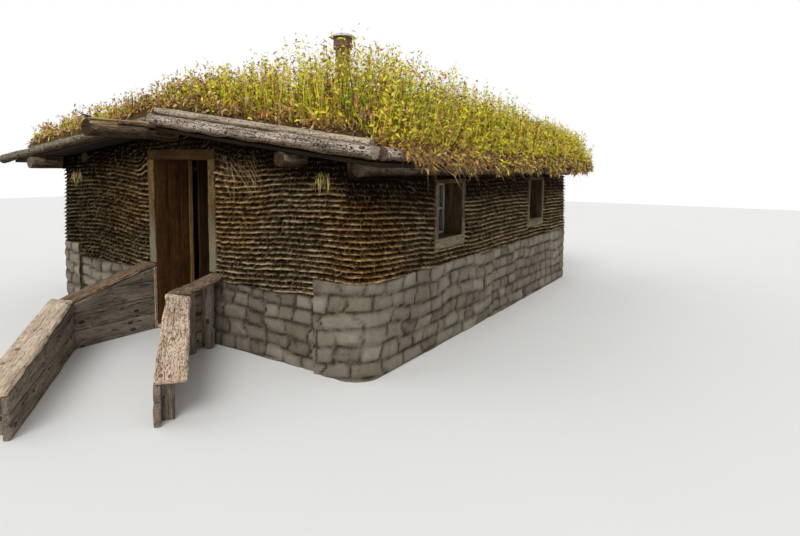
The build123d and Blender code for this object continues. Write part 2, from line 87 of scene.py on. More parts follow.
class Axis(IntEnum):
    """The world's axes, by their numbers."""

    X = 0
    Y = 1
    Z = 2


def spans(node: str) -> tuple[Pair, Pair, Pair]:
    """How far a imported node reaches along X, Y and Z."""
    return tuple(zip(*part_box(node)))


def between_joints(joints: Sequence[float], gap: float) -> list[Pair]:
    """How far boards that lie side by side reach, each this much short of its joints."""
    return [(start + gap, end - gap) for start, end in zip(joints, joints[1:])]


def apart(angle: Numbers, other: float) -> Numbers:
    """Turn from one angle to another, from minus half a turn to half a turn."""
    return (angle - other + math.pi) % math.tau - math.pi


def unit(vectors: Array) -> Array:
    """Vectors of the same directions, one metre long."""
    return vectors / np.maximum(np.linalg.norm(vectors, axis=-1, keepdims=True), 1e-9)


def ease(part: Numbers) -> Array:
    """Smooth step from 0 to 1, level at both ends."""
    held = np.clip(part, 0.0, 1.0)
    return held * held * (3 - 2 * held)


def xyz(x: Numbers, y: Numbers, z: Numbers) -> Array:
    """Points from their coordinates, each spread to the shape of the others."""
    return np.stack(np.broadcast_arrays(x, y, z), axis=-1)


def distances(line: Array) -> Array:
    """How far along a line each of its points lies."""
    return np.concatenate([[0], np.cumsum(np.linalg.norm(np.diff(line, axis=0), axis=1))])


def lattice(cells: Array, seed: int) -> Array:
    """Repeatable random value for each whole-numbered cell.

    Args:
        cells: The cells, with three whole numbers along the last axis.
        seed: Picks one of many patterns.

    Returns:
        A value from -1 to 1 for each cell.
    """
    mixed = cells[..., 0] * 374761393 + cells[..., 1] * 668265263 + cells[..., 2] * 974711 + seed * 144269
    mixed = mixed & 0x7FFFFFFF
    mixed = ((mixed ^ (mixed >> 13)) * 1274126177) & 0x7FFFFFFF
    return (mixed ^ (mixed >> 16)) / 0x3FFFFFFF - 1.0


def noise(points: Array, size: float | Sequence[float], seed: int = 0, octaves: int = 1) -> Array:
    """Smooth noise with lumps of this size.

    Args:
        points: Places, with x, y and z along the last axis.
        size: Size of the largest lumps, the same all ways or one size for each axis.
        seed: Picks one of many patterns.
        octaves: How many layers are added, each half as large as the one before.

    Returns:
        A value from about -1 to 1 for each place.
    """
    total = np.zeros(points.shape[:-1])
    reach = 0.0
    for octave in range(octaves):
        share = 0.5**octave
        scaled = points / (np.asarray(size) * share)
        cells = np.floor(scaled).astype(np.int64)
        part = ease(scaled - cells)
        for corner in range(8):
            step = np.array([corner & 1, corner >> 1 & 1, corner >> 2])
            weight = np.prod(np.where(step == 1, part, 1 - part), axis=-1)
            total += share * weight * lattice(cells + step, seed + 31 * octave)
        reach += share
    return total / reach


@dataclass(frozen=True)
class Places:
    """Main lines and planes of the house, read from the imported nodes."""

    middle: float
    wall_outer: float
    wall_inner: float
    wall_length: float
    corner_radius: float = 0.22
    roof_plane: float = 2.25
    slope_left: float = 0.11
    slope_right: float = 0.13
    deck_thickness: float = 0.035
    turf_thickness: float = 0.22
    turf_edge: float = 0.11
    turf_slant: float = 0.15
    window_middles: Pair = (1.61, 4.46)
    pipe: Pair = (0.5, 2.2)

    @classmethod
    def read(cls) -> "Places":
        """Work the places out from the boxes of the side walls.

        Returns:
            The places.
        """
        left_low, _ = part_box("left_wall")
        right_low, right_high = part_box("right_wall")
        outer = (right_high[0] - left_low[0]) / 2
        thickness = right_high[0] - right_low[0]
        return cls((left_low[0] + right_high[0]) / 2, outer, outer - thickness, right_high[1])

    def either_side(self, reach: float) -> Pair:
        """X this far to the left and to the right of the middle."""
        return self.middle - reach, self.middle + reach

    def slope(self, side: Side) -> float:
        """Fall of one side of the roof for each metre out."""
        return self.slope_left if side is Side.LEFT else self.slope_right

    def underside(self, x: Numbers) -> Array:
        """Height of the roof boards' underside over this X."""
        offset = np.asarray(x) - self.middle
        return self.roof_plane - np.where(offset < 0, -self.slope_left, self.slope_right) * offset

    def deck_top(self, x: Numbers) -> Array:
        """Height of the roof boards' upper face."""
        return self.underside(x) + self.deck_thickness

    def turf_top(self, x: Numbers) -> Array:
        """Height of the turf's upper face, which slants down at both eaves.

        Args:
            x: Where it is measured.

        Returns:
            The height, one for each X.
        """
        inside = np.minimum(np.asarray(x) - self.turf_reach[0], self.turf_reach[1] - np.asarray(x))
        full = np.clip(inside / self.turf_slant, 0, 1)
        return self.deck_top(x) + self.turf_edge + (self.turf_thickness - self.turf_edge) * full

    @cached_property
    def turf_reach(self) -> Pair:
        """X of the turf's left and right edges."""
        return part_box("roof_turf_left")[0][0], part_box("roof_turf_right")[1][0]

    @cached_property
    def turf_span(self) -> Pair:
        """Y of the turf's front and back."""
        low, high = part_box("roof_turf_left")
        return low[1], high[1]


class Graph:
    """Builds one node material around its Principled shader."""

    def __init__(
        self, name: str, roughness: float, specular: float, fixed: dict[str, float] | None = None
    ) -> None:
        """Start a material.

        Args:
            name: The material's name.
            roughness: Its roughness.
            specular: Its specular level.
            fixed: Other sockets of the shader, each with a value that is the same all over.
        """
        self.material = bpy.data.materials.new(name)
        self.material.use_nodes = True
        self.tree = self.material.node_tree
        self.shader = self.tree.nodes["Principled BSDF"].inputs
        values = {"Roughness": roughness, "Specular IOR Level": specular, **(fixed or {})}
        for socket, value in values.items():
            self.shader[socket].default_value = value

    def add(self, kind: str, output: str | int, links: dict, **settings: object) -> Socket:
        """Add a node.

        Args:
            kind: The node's type, without its first words.
            output: Which of its outputs is wanted, by name or number.
            links: For each input, by name or number, a socket or a value.
            settings: The node's own properties.

        Returns:
            The output.
        """
        node = self.tree.nodes.new(f"ShaderNode{kind}")
        for key, value in settings.items():
            setattr(node, key, value)
        for key, value in links.items():
            if isinstance(value, Socket):
                self.tree.links.new(value, node.inputs[key])
            else:
                node.inputs[key].default_value = value
        return node.outputs[output]

    @property
    def place(self) -> Socket:
        """The place on the object, in metres."""
        return self.add("TexCoord", "Object", {})

    def attribute(self, name: str, output: str = "Vector") -> Socket:
        """One of the mesh's own attributes."""
        return self.add("Attribute", output, {}, attribute_name=name)

    def vector(self, operation: str, output: str, *inputs: object) -> Socket:
        """Arithmetic on coordinates."""
        return self.add("VectorMath", output, dict(enumerate(inputs)), operation=operation)

    def axis(self, vector: Socket, letter: str) -> Socket:
        """One part of a coordinate."""
        return self.add("SeparateXYZ", letter, {0: vector})

    def noise(self, vector: Socket, scale: float | tuple, detail: float, roughness: float = 0.6) -> Socket:
        """Noise from 0 to 1.

        Args:
            vector: The coordinate that it lies in.
            scale: How fine it is, the same all ways or one value for each axis.
            detail: Number of its finer layers.
            roughness: Strength of those.

        Returns:
            Its value.
        """
        if isinstance(scale, tuple):
            vector, scale = self.vector("MULTIPLY", "Vector", vector, scale), 1.0
        links = {"Vector": vector, "Scale": scale, "Detail": detail, "Roughness": roughness}
        return self.add("TexNoise", "Fac", links)

    def math(self, operation: str, first: object, second: object = 0.0) -> Socket:
        """Arithmetic on two values."""
        return self.add("Math", "Value", {0: first, 1: second}, operation=operation)

    def times(self, first: Socket, second: object) -> Socket:
        """One value times another."""
        return self.math("MULTIPLY", first, second)

    def total(self, *parts: tuple[Socket, float]) -> Socket:
        """Two values, each times its own share, added up."""
        return self.math("ADD", *(self.times(value, share) for value, share in parts))

    def ramp(self, factor: Socket, stops: Sequence[tuple[float, Colour]]) -> Socket:
        """Colours along a factor.

        Args:
            factor: The factor.
            stops: Place and colour of each stop.

        Returns:
            The colour.
        """
        colour = self.add("ValToRGB", "Color", {"Fac": factor})
        marks = colour.node.color_ramp.elements
        while len(marks) < len(stops):
            marks.new(0.5)
        for mark, (place, tint) in zip(marks, stops):
            mark.position = place
            mark.color = (*tint, 1.0)
        return colour

    def band(self, factor: Socket, low: float, high: float) -> Socket:
        """A factor spread so that low becomes 0 and high becomes 1."""
        return self.add("MapRange", "Result", {"Value": factor, "From Min": low, "From Max": high})

    def mix(self, factor: Socket, first: object, second: object, blend: str = "MIX") -> Socket:
        """Blend two colours.

        Args:
            factor: How much of the second there is.
            first: A colour or its socket.
            second: A colour or its socket.
            blend: The way of blending.

        Returns:
            The blend.
        """
        first, second = (tint if isinstance(tint, Socket) else (*tint, 1.0) for tint in (first, second))
        return self.add("Mix", 2, {0: factor, 6: first, 7: second}, data_type="RGBA", blend_type=blend)

    def coat(self, colour: Socket, paint: object, where: Socket, share: float, blend: str = "MIX") -> Socket:
        """Lay this share of a paint over a colour, where a factor says."""
        return self.mix(self.times(where, share), colour, paint, blend)

    def finish(self, colour: Socket, height: Socket, depth: float) -> Material:
        """Wire the colour and a bump.

        Args:
            colour: Base colour.
            height: Bump height from 0 to 1.
            depth: Depth of the bump in metres.

        Returns:
            The finished material.
        """
        bump = self.add("Bump", "Normal", {"Height": height, "Distance": depth, "Strength": 1.0})
        self.tree.links.new(colour, self.shader["Base Color"])
        self.tree.links.new(bump, self.shader["Normal"])
        return self.material


class Finish:
    """A finish that makes its material once."""

    def make(self) -> Material:
        """Build the material."""
        raise NotImplementedError

    @cached_property
    def material(self) -> Material:
        """The material, built when it is first asked for."""
        return self.make()


STAIN: Colour = (0.02, 0.013, 0.008)


@dataclass(frozen=True)
class WoodFinish(Finish):
    """Weathered wood, its grain along the first axis of the grain coordinate."""

    name: str
    dark: Colour
    light: Colour
    worn: Colour
    wear: float = 0.5
    streak: float = 90.0
    pits: float = 0.0
    fleck: float = 45.0
    crack: float = 0.5
    knots: float = 0.0
    stain_share: float = 0.35
    # how far a log's downward side darkens: partly wet dirt, partly painted shade
    damp: float = 0.0
    bleached_below: float = -1.0
    roughness: float = 0.8
    depth: float = 0.003
    damp_tint: Colour = (0.34, 0.26, 0.19)
    bleached: Colour = (0.245, 0.222, 0.155)

    def make(self) -> Material:
        """Layer grain, wear, stains, pits, cracks and knots, a darker underside that is partly wet dirt and
        partly painted shade, and a bleached foot.

        Returns:
            The material.
        """
        g = Graph(self.name, self.roughness, 0.07)
        grain = g.attribute("grain")
        streak = g.noise(grain, (2.5, self.streak, self.streak), 5.0, 0.65)
        tone = g.total((streak, 0.65), (g.noise(grain, (0.9, 9.0, 9.0), 3.0), 0.35))
        colour = g.mix(g.band(tone, 0.36, 0.64), self.dark, self.light)
        patch = g.noise(grain, (2.2, 7.0, 7.0), 4.0)
        colour = g.coat(colour, self.worn, g.band(patch, 0.5 - 0.3 * self.wear, 0.75), self.wear)
        blot = g.band(g.noise(grain, (5.0, 16.0, 16.0), 5.0, 0.7), 0.55, 0.72)
        colour = g.coat(colour, STAIN, blot, self.stain_share)
        fleck = g.noise(grain, (self.fleck, 110.0, 110.0), 3.0)
        pitted = g.times(g.band(fleck, 0.525, 0.575), self.pits)
        vein = g.math("SUBTRACT", g.noise(grain, (1.1, 26.0, 26.0), 2.0, 0.5), 0.5)
        cracked = g.times(g.band(g.math("ABSOLUTE", vein), 0.009, 0.002), self.crack)
        colour = g.mix(cracked, g.mix(pitted, colour, STAIN), STAIN)
        if self.knots:
            spread = g.vector("MULTIPLY", "Vector", grain, (4.5, 8.0, 8.0))
            away = g.add("TexVoronoi", "Distance", {"Vector": spread, "Scale": 1.0})
            rings = g.ramp(away, [(0.04, STAIN), (0.1, self.dark), (0.15, STAIN), (0.2, self.worn)])
            colour = g.coat(colour, rings, g.band(away, 0.22, 0.17), self.knots)
        # painted shade: the downward-facing side of a log is darkened, along with real wet dirt there
        if self.damp:
            under = g.band(g.attribute("shade", "Fac"), 0.52, 0.15)
            colour = g.coat(colour, self.damp_tint, under, self.damp, "MULTIPLY")
        if self.bleached_below > 0:
            ragged = g.total((g.axis(g.place, "Z"), 1.0), (patch, 0.4))
            foot = g.band(ragged, self.bleached_below + 0.4, self.bleached_below)
            colour = g.coat(colour, self.bleached, foot, 0.65)
        hollow = g.times(g.math("ADD", pitted, cracked), 0.6)
        return g.finish(colour, g.math("SUBTRACT", tone, hollow), self.depth)


@dataclass(frozen=True)
class EndGrainFinish(Finish):
    """Sawn log end, its rings round the first axis of the grain coordinate."""

    name: str
    dark: Colour
    light: Colour
    ring: float = 0.007
    crack: Colour = (0.012, 0.008, 0.005)

    def make(self) -> Material:
        """Draw rings and radial checks.

        Returns:
            The material.
        """
        g = Graph(self.name, 0.95, 0.03)
        grain = g.attribute("grain")
        flat = g.vector("MULTIPLY", "Vector", grain, (0.0, 1.0, 1.0))
        turned = g.total((g.vector("LENGTH", "Value", flat), 1 / self.ring), (g.noise(flat, 28.0, 3.0), 3.0))
        rings = g.math("SINE", g.times(turned, math.tau))
        way = g.vector("NORMALIZE", "Vector", flat)
        spoke = g.math("ABSOLUTE", g.math("SUBTRACT", g.noise(way, 4.5, 2.0), 0.5))
        check = g.band(spoke, 0.014, 0.004)
        tone = g.total((rings, 0.18), (g.noise(grain, 60.0, 4.0), 1.0))
        colour = g.mix(g.band(tone, 0.3, 0.8), self.dark, self.light)
        return g.finish(g.mix(check, colour, self.crack), g.math("SUBTRACT", tone, check), 0.002)


@dataclass(frozen=True)
class SodFinish(Finish):
    """Root-bound turf in courses: thin pale crests over dark hairy joints."""

    name: str = "sod"
    golden: tuple[Colour, ...] = ((-1.1, 0.0, 1.55), (0.85, 0.0, 1.5), (2.45, 0.1, 1.2))
    # the low end of these tones is near black: dark soil, deepened as painted shade in the recesses under
    # each lip
    tones: tuple[tuple[float, Colour], ...] = (
        (0.0, (0.005, 0.003, 0.001)),
        (0.32, (0.022, 0.013, 0.006)),
        (0.56, (0.132, 0.084, 0.041)),
        (0.82, (0.4, 0.285, 0.15)),
        (1.0, (0.8, 0.64, 0.41)),
    )

    def make(self) -> Material:
        """Colour by how far each place stands proud, recesses near black as dark soil with painted shade,
        golden in places, grey in others, and darker to the left as painted shade.

        Returns:
            The material.
        """
        g = Graph(self.name, 0.95, 0.03)
        grain = g.attribute("grain")
        hair = g.noise(grain, (52.0, 52.0, 110.0), 5.0, 0.8)
        mixed = g.total((hair, 2.1), (g.noise(grain, 26.0, 4.0, 0.65), 0.7))
        tone = g.math("ADD", g.attribute("shade", "Fac"), g.math("SUBTRACT", mixed, 1.4))
        colour = g.ramp(tone, self.tones)
        for spot in self.golden:
            away = g.vector("DISTANCE", "Value", grain, spot)
            warm = g.band(g.math("ADD", away, g.noise(grain, 3.0, 3.0)), 1.2, 0.75)
            colour = g.coat(colour, (1.15, 0.92, 0.6), warm, 0.9, "MULTIPLY")
        spread = g.vector("MULTIPLY", "Vector", grain, (1.0, 1.0, 1.8))
        grey = g.band(g.noise(spread, 2.3, 3.0), 0.5, 0.66)
        colour = g.coat(colour, (0.78, 0.86, 0.92), grey, 0.6, "MULTIPLY")
        # painted shade: the wall left of the door is darkened, standing for the shade that falls there
        painted_shade_left = g.band(g.axis(grain, "X"), -0.3, -1.2)
        return g.finish(g.mix(painted_shade_left, colour, (0.31, 0.31, 0.27), "MULTIPLY"), mixed, 0.01)


@dataclass(frozen=True)
class StoneFinish(Finish):
    """Pale worn fieldstone in earth joints."""

    name: str = "footing_stone"
    tones: tuple[tuple[float, Colour], ...] = (
        (0.0, (0.028, 0.019, 0.012)),
        (0.18, (0.06, 0.043, 0.029)),
        (0.32, (0.15, 0.122, 0.09)),
        (0.65, (0.26, 0.23, 0.178)),
        (1.0, (0.42, 0.395, 0.32)),
    )

    def make(self) -> Material:
        """Colour each stone by its shade, with lichen and damp earth in the joints.

        Returns:
            The material.
        """
        g = Graph(self.name, 0.9, 0.25)
        grain = g.attribute("grain")
        grit = g.noise(grain, 95.0, 5.0, 0.7)
        cloud = g.noise(grain, 8.0, 4.0)
        tone = g.math("SUBTRACT", g.total((grit, 0.75), (cloud, 0.55)), 0.65)
        colour = g.ramp(g.math("ADD", g.attribute("shade", "Fac"), tone), self.tones)
        lichen = g.band(g.noise(grain, 5.0, 5.0, 0.65), 0.54, 0.66)
        colour = g.coat(colour, (0.72, 0.86, 0.55), lichen, 0.5, "MULTIPLY")
        return g.finish(colour, g.math("ADD", grit, cloud), 0.01)


@dataclass(frozen=True)
class EarthFinish(Finish):
    """Matted roots and soil, for the turf's own body and the inside of the walls."""

    name: str = "matted_earth"
    dark: Colour = (0.01, 0.006, 0.003)
    brown: Colour = (0.085, 0.052, 0.024)
    light: Colour = (0.33, 0.22, 0.1)

    def make(self) -> Material:
        """Colour brown thatch by its place.

        Returns:
            The material.
        """
        g = Graph(self.name, 0.95, 0.03)
        hair = g.noise(g.place, (60.0, 60.0, 140.0), 5.0, 0.75)
        mixed = g.total((hair, 0.6), (g.noise(g.place, 9.0, 4.0, 0.65), 0.4))
        colour = g.ramp(mixed, [(0.3, self.dark), (0.5, self.brown), (0.66, self.light)])
        return g.finish(colour, mixed, 0.015)


@dataclass(frozen=True)
class GrassFinish(Finish):
    """Leaves, blades and stems, coloured by shade and darker towards their roots."""

    name: str = "roof_growth"
    tones: tuple[tuple[float, Colour], ...] = (
        (0.0, (0.085, 0.042, 0.017)),
        (0.14, (0.67, 0.49, 0.26)),
        (0.28, (0.94, 0.785, 0.075)),
        (0.42, (0.755, 0.775, 0.05)),
        (0.58, (0.29, 0.45, 0.025)),
        (0.7, (0.09, 0.18, 0.014)),
        (0.82, (0.74, 0.37, 0.1)),
        (0.92, (0.43, 0.185, 0.075)),
        (1.0, (0.05, 0.028, 0.015)),
    )

    def make(self) -> Material:
        """Colour from dry thatch through yellow and green to rust and dark stems.

        Returns:
            The material.
        """
        g = Graph(self.name, 0.6, 0.12)
        grain = g.attribute("grain")
        mottle = g.math("SUBTRACT", g.noise(grain, (2.0, 9.0, 9.0), 2.0), 0.5)
        tone = g.math("ADD", g.attribute("shade", "Fac"), g.times(mottle, 0.08))
        low = g.band(g.axis(grain, "X"), 0.45, 0.0)
        colour = g.mix(low, g.ramp(tone, self.tones), (0.34, 0.27, 0.2), "MULTIPLY")
        return g.finish(colour, g.noise(grain, (1.0, 40.0, 40.0), 1.0), 0.0004)


@dataclass(frozen=True)
class MetalFinish(Finish):
    """Old sheet metal or iron with rust."""

    name: str
    bare: Colour
    rust: Colour
    rust_share: float
    metallic: float
    roughness: float

    def make(self) -> Material:
        """Lay rust in patches and streaks over the bare metal.

        Returns:
            The material.
        """
        g = Graph(self.name, self.roughness, 0.5, {"Metallic": self.metallic})
        run = g.noise(g.place, (45.0, 45.0, 4.0), 4.0)
        mixed = g.total((g.noise(g.place, 13.0, 6.0, 0.7), 0.6), (run, 0.4))
        middle = 0.68 - 0.36 * self.rust_share
        rusty = g.band(mixed, middle - 0.05, middle + 0.05)
        grit = g.noise(g.place, 160.0, 4.0, 0.7)
        rust = g.mix(grit, self.rust, tuple(0.45 * part for part in self.rust))
        worn = g.mix(g.noise(g.place, 30.0, 3.0), self.bare, tuple(0.72 * part for part in self.bare))
        return g.finish(g.mix(rusty, worn, rust), g.math("ADD", grit, rusty), 0.0012)


@dataclass(frozen=True)
class GlassFinish(Finish):
    """Old window glass, dusty and a little wavy."""

    name: str = "old_glass"

    def make(self) -> Material:
        """Make clear glass with a grimy film and slow ripples.

        Returns:
            The material.
        """
        g = Graph(self.name, 0.06, 0.5, {"Transmission Weight": 0.82, "IOR": 1.45})
        grime = g.band(g.noise(g.place, 7.0, 5.0, 0.65), 0.35, 0.75)
        colour = g.mix(grime, (0.36, 0.4, 0.4), (0.15, 0.15, 0.13))
        return g.finish(colour, g.noise(g.place, 9.0, 1.0), 0.002)


@dataclass(frozen=True)
class FloorFinish(Finish):
    """Plain pale studio floor."""

    name: str = "studio_floor"

    def make(self) -> Material:
        """Make a barely clouded off-white.

        Returns:
            The material.
        """
        g = Graph(self.name, 0.9, 0.05)
        cloud = g.noise(g.place, 0.5, 2.0)
        return g.finish(g.mix(cloud, (0.8, 0.8, 0.785), (0.83, 0.83, 0.815)), cloud, 0.0001)


class Wood(Enum):
    """The wood finishes of the house."""

    RAKE = WoodFinish(
        "pale_rake_log", (0.11, 0.075, 0.05), (0.615, 0.5, 0.395), (0.88, 0.765, 0.65), wear=0.65,
        streak=60.0, pits=1.0, fleck=42.0, crack=0.8, knots=0.9, stain_share=0.6, damp=0.95, depth=0.006,
    )
    MOSSY = WoodFinish(
        "mossy_rake_log", (0.05, 0.04, 0.024), (0.25, 0.205, 0.13), (0.44, 0.4, 0.29), streak=60.0,
        pits=0.95, fleck=28.0, crack=0.6, knots=0.8, stain_share=0.6, damp=0.95, depth=0.006,
    )
    POLE = WoodFinish(
        "smooth_pole", (0.18, 0.13, 0.08), (0.58, 0.475, 0.325), (0.76, 0.67, 0.5), wear=0.6,
        streak=80.0, pits=0.7, crack=0.95, knots=0.9, stain_share=0.45, damp=0.95,
    )
    RIDGE = WoodFinish(
        "old_ridge_log", (0.022, 0.013, 0.007), (0.25, 0.165, 0.1), (0.52, 0.41, 0.29), wear=0.55,
        streak=70.0, pits=0.7, fleck=16.0, crack=1.0, stain_share=0.8, damp=0.9, depth=0.008,
    )
    SPLINTER = WoodFinish(
        "torn_ridge_wood", (0.26, 0.125, 0.04), (0.68, 0.44, 0.205), (0.8, 0.65, 0.45), wear=0.45,
        streak=120.0, crack=1.0, stain_share=0.6, depth=0.006,
    )
    # near black boards: painted shade under the rake logs and the eaves
    DECK = WoodFinish(
        "roof_board", (0.004, 0.0025, 0.0015), (0.017, 0.01, 0.0055), (0.036, 0.023, 0.013), wear=0.4,
        crack=0.7, stain_share=0.5,
    )
    CASING = WoodFinish(
        "door_casing_board", (0.045, 0.025, 0.007), (0.17, 0.099, 0.029), (0.28, 0.186, 0.08), wear=0.6,
        streak=110.0, pits=0.8, fleck=18.0, crack=0.8, stain_share=0.8, bleached_below=1.2,
    )
    # a darker copy of the casing wood: painted shade of the roof over the door head
    CASING_HEAD = WoodFinish(
        "door_head_board", (0.018, 0.008, 0.002), (0.072, 0.034, 0.007), (0.12, 0.064, 0.017),
        streak=110.0, pits=0.7, fleck=18.0, crack=0.8, stain_share=0.7,
    )
    REVEAL = WoodFinish(
        "dark_reveal_plank", (0.03, 0.012, 0.003), (0.145, 0.06, 0.016), (0.22, 0.115, 0.045), wear=0.35,
        pits=0.5, fleck=18.0, crack=0.8, stain_share=0.65, roughness=0.7,
    )
    JAMB = WoodFinish(
        "jamb_strip", (0.16, 0.08, 0.024), (0.4, 0.225, 0.085), (0.48, 0.34, 0.19), wear=0.4, crack=0.6,
    )
    # dark tarred planks, darkened further as painted shade of the dark room behind the doorway
    DOOR = WoodFinish(
        "door_plank", (0.016, 0.008, 0.004), (0.075, 0.038, 0.017), (0.13, 0.082, 0.045), wear=0.4,
        crack=0.9, stain_share=0.5,
    )
    ENTRY = WoodFinish(
        "entry_plank", (0.044, 0.03, 0.019), (0.21, 0.158, 0.11), (0.48, 0.405, 0.325), wear=0.75,
        streak=60.0, pits=0.3, fleck=14.0, crack=1.0, knots=0.8, stain_share=0.6, depth=0.007,
    )
    CAP = WoodFinish(
        "cap_plank", (0.3, 0.19, 0.11), (0.88, 0.65, 0.47), (0.96, 0.8, 0.63), wear=0.65, streak=70.0,
        pits=0.65, fleck=22.0, crack=1.0, knots=0.7, stain_share=0.5, depth=0.004,
    )
    CAP_SMOOTH = WoodFinish(
        "smooth_cap_plank", (0.26, 0.17, 0.1), (0.78, 0.595, 0.435), (0.94, 0.79, 0.63), wear=0.7,
        streak=70.0, pits=0.35, fleck=13.0, crack=1.0, knots=0.7, depth=0.004,
    )
    CAP_BROWN = WoodFinish(
        "brown_cap_plank", (0.08, 0.046, 0.024), (0.29, 0.19, 0.112), (0.42, 0.325, 0.225), streak=70.0,
        pits=0.8, fleck=13.0, crack=1.0, knots=0.7, stain_share=0.7, depth=0.004,
    )
    # dark brown boards, darkened further as painted shade in the deep reveal and under the header
    WINDOW = WoodFinish(
        "window_plank", (0.018, 0.009, 0.004), (0.085, 0.045, 0.019), (0.21, 0.15, 0.09), wear=0.35,
        streak=60.0, crack=0.9, stain_share=0.6,
    )
    WINDOW_EDGE = WoodFinish(
        "window_casing", (0.052, 0.035, 0.02), (0.18, 0.13, 0.078), (0.33, 0.28, 0.205), wear=0.55,
        pits=0.6, fleck=18.0, crack=0.8, stain_share=0.7,
    )
    WINDOW_SILL = WoodFinish(
        "window_sill_board", (0.09, 0.072, 0.036), (0.28, 0.24, 0.145), (0.37, 0.335, 0.215), pits=0.6,
        fleck=18.0, crack=0.7, stain_share=0.45,
    )
    SASH = WoodFinish(
        "sash_paint", (0.2, 0.205, 0.18), (0.38, 0.39, 0.35), (0.22, 0.18, 0.13), streak=50.0, crack=0.6,
        stain_share=0.4,
    )

    @property
    def material(self) -> Material:
        """The finish's material."""
        return self.value.material


PALE_END = EndGrainFinish("pale_log_end", (0.24, 0.185, 0.14), (0.58, 0.51, 0.43))
GREY_END = EndGrainFinish("grey_log_end", (0.08, 0.055, 0.04), (0.27, 0.21, 0.16))
DARK_END = EndGrainFinish("dark_log_end", (0.018, 0.01, 0.005), (0.105, 0.066, 0.038))
RAW_END = EndGrainFinish("raw_log_end", (0.3, 0.17, 0.1), (0.6, 0.41, 0.3))
SOD = SodFinish()
STONE = StoneFinish()
EARTH = EarthFinish()
THATCH = EarthFinish("roof_thatch", (0.022, 0.013, 0.006), (0.1, 0.06, 0.028), (0.26, 0.17, 0.078))
GRASS = GrassFinish()
GLASS = GlassFinish()
IRON = MetalFinish("rusty_iron", (0.09, 0.08, 0.075), (0.16, 0.065, 0.03), 0.7, 0.6, 0.6)
PIPE = MetalFinish("rusty_sheet", (0.2, 0.16, 0.13), (0.22, 0.105, 0.055), 0.75, 0.35, 0.65)
ZINC = MetalFinish("dull_zinc", (0.6, 0.61, 0.61), (0.36, 0.28, 0.22), 0.25, 0.25, 0.5)


